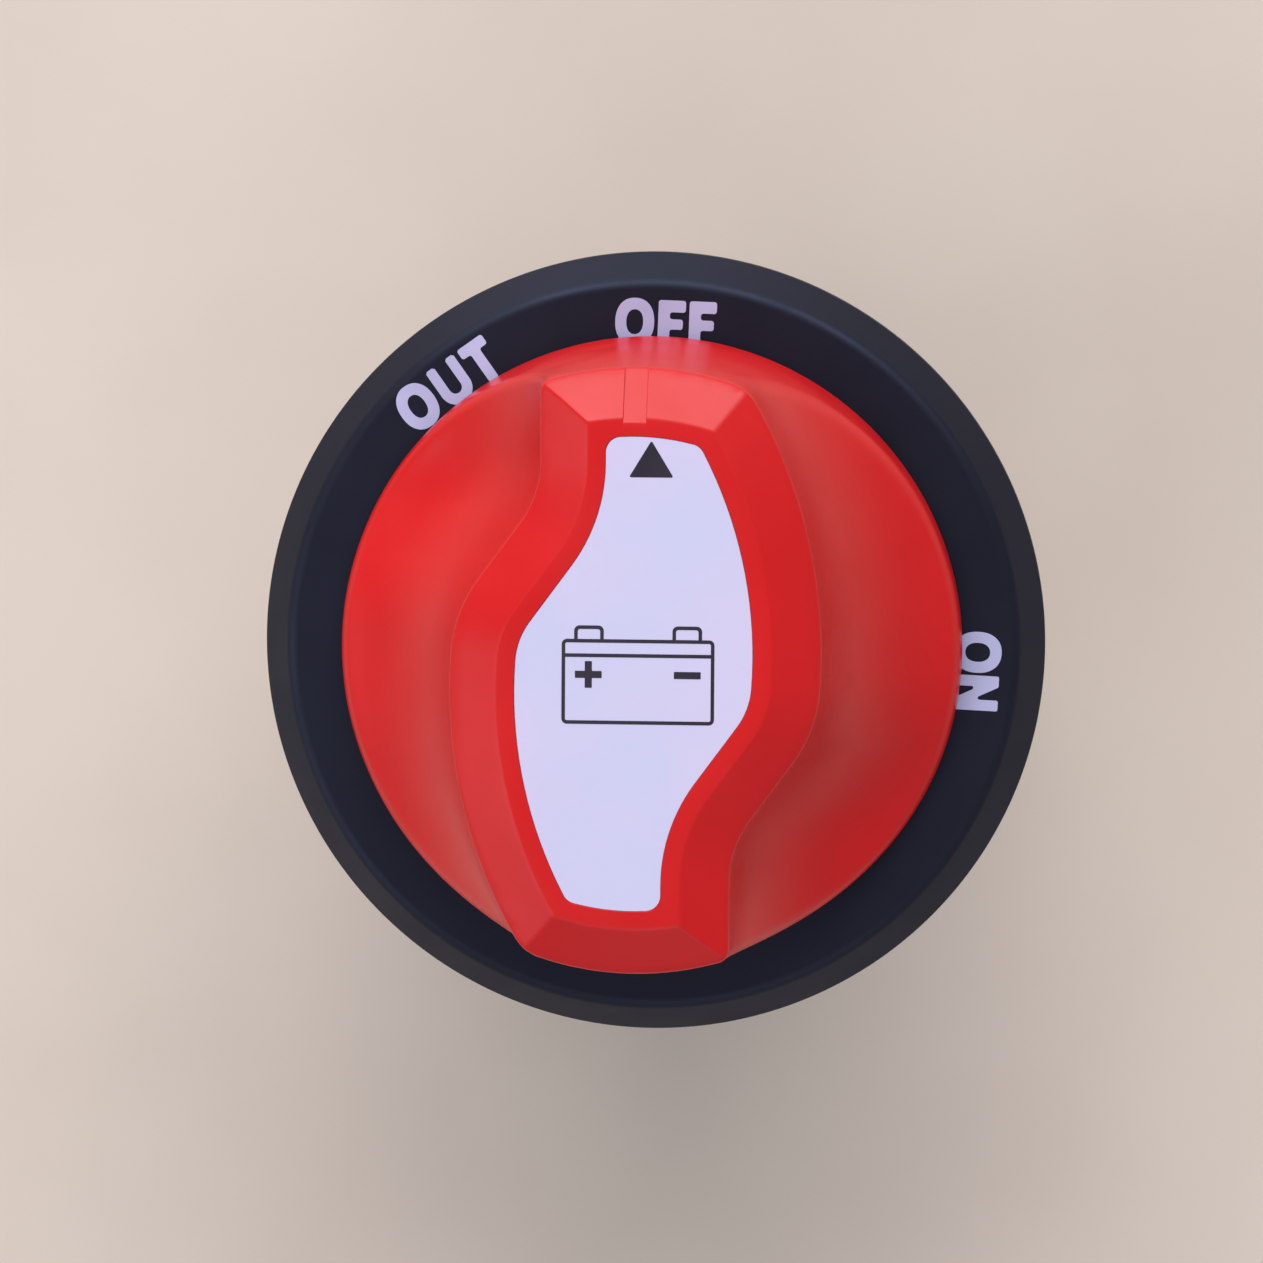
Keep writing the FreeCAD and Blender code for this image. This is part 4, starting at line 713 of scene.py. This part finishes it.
def make_label_print():
    """The pointer triangle and the plain battery sign on the label."""
    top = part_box("knob_label")[1].z / MM
    x, y, line = PRINT_X, PRINT_Y, 0.3
    right, high, lid = 6.45, 3.6, 1.23
    plus = [
        (-0.3, -1.13), (0.3, -1.13), (0.3, -0.3), (1.13, -0.3), (1.13, 0.3), (0.3, 0.3),
        (0.3, 1.13), (-0.3, 1.13), (-0.3, 0.3), (-1.13, 0.3), (-1.13, -0.3), (-0.3, -0.3),
    ]
    prints = {
        "pointer_triangle": [soft([(-1.88, 0), (1.88, 0), (0, 3.1)], 0.1) + np.array(POINTER)],
        "battery_case": outline(x - right, y - high, x + right, y + high, line, 0.45),
        "battery_lid": [
            block(x - right + line, y + high - lid - line, x + right - line, y + high - lid, 0.02)
        ],
        "battery_plus": [soft(plus, 0.06) + np.array([x - 4.19, y + 0.6])],
        "battery_minus": [block(x + 3.04, y + 0.3, x + 5.3, y + 0.9, 0.06)],
    }
    for side, name in ((-1, "battery_post_a"), (1, "battery_post_b")):
        left, foot = x + side * 4.15 - 1.25, y + high
        # a small hat: outer hoop and inner hoop share one closed loop
        outer = arch(left, foot, 2.5, 1.15, 0.45)
        inner = arch(left + line, foot, 2.5 - 2 * line, 1.15 - line, 0.2)
        prints[name] = [np.concatenate([outer, inner[::-1]])]
    for name, loops in prints.items():
        mesh = printed(name, loops, top - 0.01, top + 0.02)
        new_piece(name, "knob", materials["label_ink"], mesh)


def ring_piece(name, body, look, profile, centres, node, segments=96):
    """The same turned part round each centre."""
    parts = [lathe(profile, segments, centre) for centre in centres]
    return new_piece(name, body, materials[look], shells(name, parts), node, level=True)


def node_centres(node, radius):
    """Centres of the two round parts of a node that lie side by side along X."""
    low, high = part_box(node)
    return [(high.x / MM - radius, 0), (low.x / MM + radius, 0)]


def make_washers():
    """Plain flat washers, and spring washers split and sprung open."""
    low, high = (corner.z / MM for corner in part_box("flat_washers"))
    profile = [(5.25, low, 0.1), (10.0, low, 0.35), (10.0, high, 0.35), (5.25, high, 0.1)]
    centres = node_centres("flat_washers", 10.0)
    ring_piece("washers", "base", "steel", profile, centres, "flat_washers")
    low, high = (corner.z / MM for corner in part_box("spring_washers"))
    parts = []
    for centre in node_centres("spring_washers", 9.0):
        gap, rise, turns = math.radians(6), 0.25, 120
        thick = high - low - rise
        corners = [(5.25, 0), (9.0, 0), (9.0, thick), (5.25, thick)]
        section = rounded_path([(r, z, 0.15) for r, z in corners], 3)
        rings = []
        for angle in np.linspace(gap, 2 * math.pi - gap, turns):
            lift = low + rise * (angle - gap) / (2 * math.pi - 2 * gap)
            c, s = math.cos(angle), math.sin(angle)
            rings.append([(centre[0] + r * c, r * s, lift + z) for r, z in section])
        ends = [[np.mean(ring, axis=0)] * len(ring) for ring in (rings[0], rings[-1])]
        parts.append([ends[0]] + rings + [ends[1]])
    mesh = shells("split_washers", parts)
    new_piece("split_washers", "base", materials["steel"], mesh, "spring_washers")


def hexagon_reach(angles, flat):
    """Distance from the centre to a hexagon's side, two of its flats facing along X."""
    return flat / np.cos((angles + math.pi / 6) % (math.pi / 3) - math.pi / 6)


def make_nuts():
    """Hexagon nuts with their corners chamfered."""
    low, high = (corner.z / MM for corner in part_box("stud_nuts"))
    angles = np.linspace(0, 2 * math.pi, 144, endpoint=False)
    parts = []
    for centre in node_centres("stud_nuts", 8.5):
        reach = hexagon_reach(angles, 8.5)
        drop = np.maximum(reach - 8.25, 0) * 0.577
        plan = np.column_stack([np.cos(angles), np.sin(angles)])
        side = plan * reach[:, None] + np.array(centre)
        parts.append([
            round_ring(5.06, low + 0.6, angles, centre),
            round_ring(5.06, high - 0.6, angles, centre),
            round_ring(5.6, high, angles, centre), round_ring(8.2, high, angles, centre),
            np.column_stack([side, high - drop]), np.column_stack([side, low + drop]),
            round_ring(8.2, low, angles, centre), round_ring(5.6, low, angles, centre),
        ])
    new_piece("nuts", "base", materials["brass"], shells("nuts", parts), "stud_nuts", sharp=28.0)


def make_studs():
    """Studs with an M10 thread from the head's underside to a chamfered end."""
    for name in ("terminal_stud_a", "terminal_stud_b"):
        low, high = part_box(name)
        centre = ((low.x + high.x) / 2 / MM, 0)
        tip, head = low.z / MM, high.z / MM
        seat = head - 2.4
        around, pitch, deep, shank, thread_top = 60, 1.5, 0.75, 4.95, -26.4
        angles = np.linspace(0, 2 * math.pi, around, endpoint=False)
        plan = np.column_stack([np.cos(angles), np.sin(angles)])
        flats = np.column_stack([plan[:, 0] * 8.0, np.clip(plan[:, 1] * 8.0, -6.6, 6.6)])
        head_plan = flats + np.array(centre)
        rings = [
            level_ring(np.tile(centre, (around, 1)), head), level_ring(head_plan, head),
            level_ring(head_plan, seat), round_ring(shank, seat, angles, centre),
            round_ring(shank, thread_top, angles, centre),
        ]
        rows = int(round((thread_top - tip) / (pitch / 10)))
        for row in range(1, rows + 1):
            z = thread_top - row * (thread_top - tip) / rows
            phase = (z / pitch - angles / (2 * math.pi)) % 1.0
            crest = np.clip(1.25 - np.abs(phase - 0.5) * 2.9, 0, 1)
            start = min(row / 12, 1)
            radius = shank - deep * (1 - crest) * start
            radius = np.minimum(radius, 4.05 + (z - tip) * 0.9)
            rings.append(level_ring(plan * radius[:, None] + np.array(centre), z))
        rings.append(level_ring(np.tile(centre, (around, 1)), tip))
        mesh = shells(name + "_threaded", [rings])
        new_piece(name + "_threaded", "base", materials["plated_copper"], mesh, name)


def soften_nodes():
    """Small rounded edges on the carried CAD nodes that show."""
    for name, width in (("switch_housing", 0.3), ("terminal_base", 0.3), ("knob_stem", 0.15),
                        ("rotor", 0.15), ("base_screws", 0.15)):
        bevel = frame["nodes"][name].modifiers.new("edges", "BEVEL")
        bevel.width = width * MM
        bevel.segments = 2
        bevel.limit_method = "ANGLE"
        bevel.angle_limit = math.radians(40)
        bevel.harden_normals = True


# ---------------------------------------------------------------- studio


def make_floor():
    """A plain pale floor under the lowest part."""
    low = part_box("switch_housing")[0].z
    mesh = bpy.data.meshes.new("floor")
    half = 1.6
    corners = [(-half, -half), (half, -half), (half, half), (-half, half)]
    mesh.from_pydata([(x, y, low) for x, y in corners], [], [(0, 1, 2, 3)])
    floor = bpy.data.objects.new("floor", mesh)
    bpy.context.scene.collection.objects.link(floor)
    made, tree, shader, place = material("floor_paint", (0.76, 0.64, 0.56), 0.7)
    mottle = noise(tree, place, 30.0)
    tone = ramp(tree, mottle, (0.75, 0.63, 0.55), (0.79, 0.67, 0.59))
    tree.links.new(tone, shader.inputs["Base Color"])
    mesh.materials.append(made)


def area_light(name, place, width, depth, power, color=(1, 1, 1)):
    """A soft rectangular light that faces the object, its width kept level."""
    data = bpy.data.lights.new(name, "AREA")
    data.shape = "RECTANGLE"
    data.size, data.size_y = width, depth
    data.energy = power
    data.color = color
    light = bpy.data.objects.new(name, data)
    light.location = place
    aim = Vector((0, 0, 0.01)) - Vector(place)
    light.rotation_euler = aim.to_track_quat("-Z", "Y").to_euler()
    bpy.context.scene.collection.objects.link(light)


def make_lights():
    """A dim cool surround and four soft lights."""
    world = bpy.data.worlds.new("studio")
    world.use_nodes = True
    background = world.node_tree.nodes["Background"]
    background.inputs["Color"].default_value = (0.88, 0.94, 1.0, 1)
    background.inputs["Strength"].default_value = 0.37
    bpy.context.scene.world = world
    bpy.context.scene.view_settings.view_transform = "Standard"
    area_light("key", (0.02, 0.95, 0.8), 1.4, 0.6, 13.0, (1.0, 0.98, 0.97))
    area_light("fill", (-0.8, -0.3, 0.7), 0.8, 0.8, 2.7, (0.96, 0.97, 1.0))
    area_light("low", (0.1, -0.9, 0.9), 0.8, 0.8, 1.6)
    area_light("horizon", (-0.3, 1.25, 0.14), 1.3, 0.3, 3.0, (0.82, 0.90, 1.0))


def make_camera():
    """Looks down on the face, a little from above and from the right."""
    roll, distance, field = math.radians(0.34), 600 * MM, 111.73 * MM
    right = Vector((math.cos(roll), math.sin(roll), 0))
    up = Vector((-math.sin(roll), math.cos(roll), 0))
    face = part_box("front_bezel")[0].z + 1.2 * MM
    place = right * 37.7 * MM + up * 58.1 * MM + Vector((0, 0, face + distance))
    target = right * -2.04 * MM + up * 0.92 * MM + Vector((0, 0, face))
    back = (place - target).normalized()
    side = up.cross(back).normalized()
    top = back.cross(side)
    data = bpy.data.cameras.new("camera")
    data.sensor_width = 36.0
    data.lens = data.sensor_width * (place - target).length / field
    data.clip_start = 0.01
    data.clip_end = 20.0
    camera = bpy.data.objects.new("camera", data)
    turn = Matrix((side, top, back)).transposed()
    camera.matrix_world = Matrix.Translation(place) @ turn.to_4x4()
    bpy.context.scene.collection.objects.link(camera)
    bpy.context.scene.camera = camera


materials = make_materials()
paint_nodes(materials)
make_camera()
make_knob()
make_bezel()
make_legends()
make_label_print()
make_washers()
make_nuts()
make_studs()
soften_nodes()
make_floor()
make_lights()
bpy.context.view_layer.update()
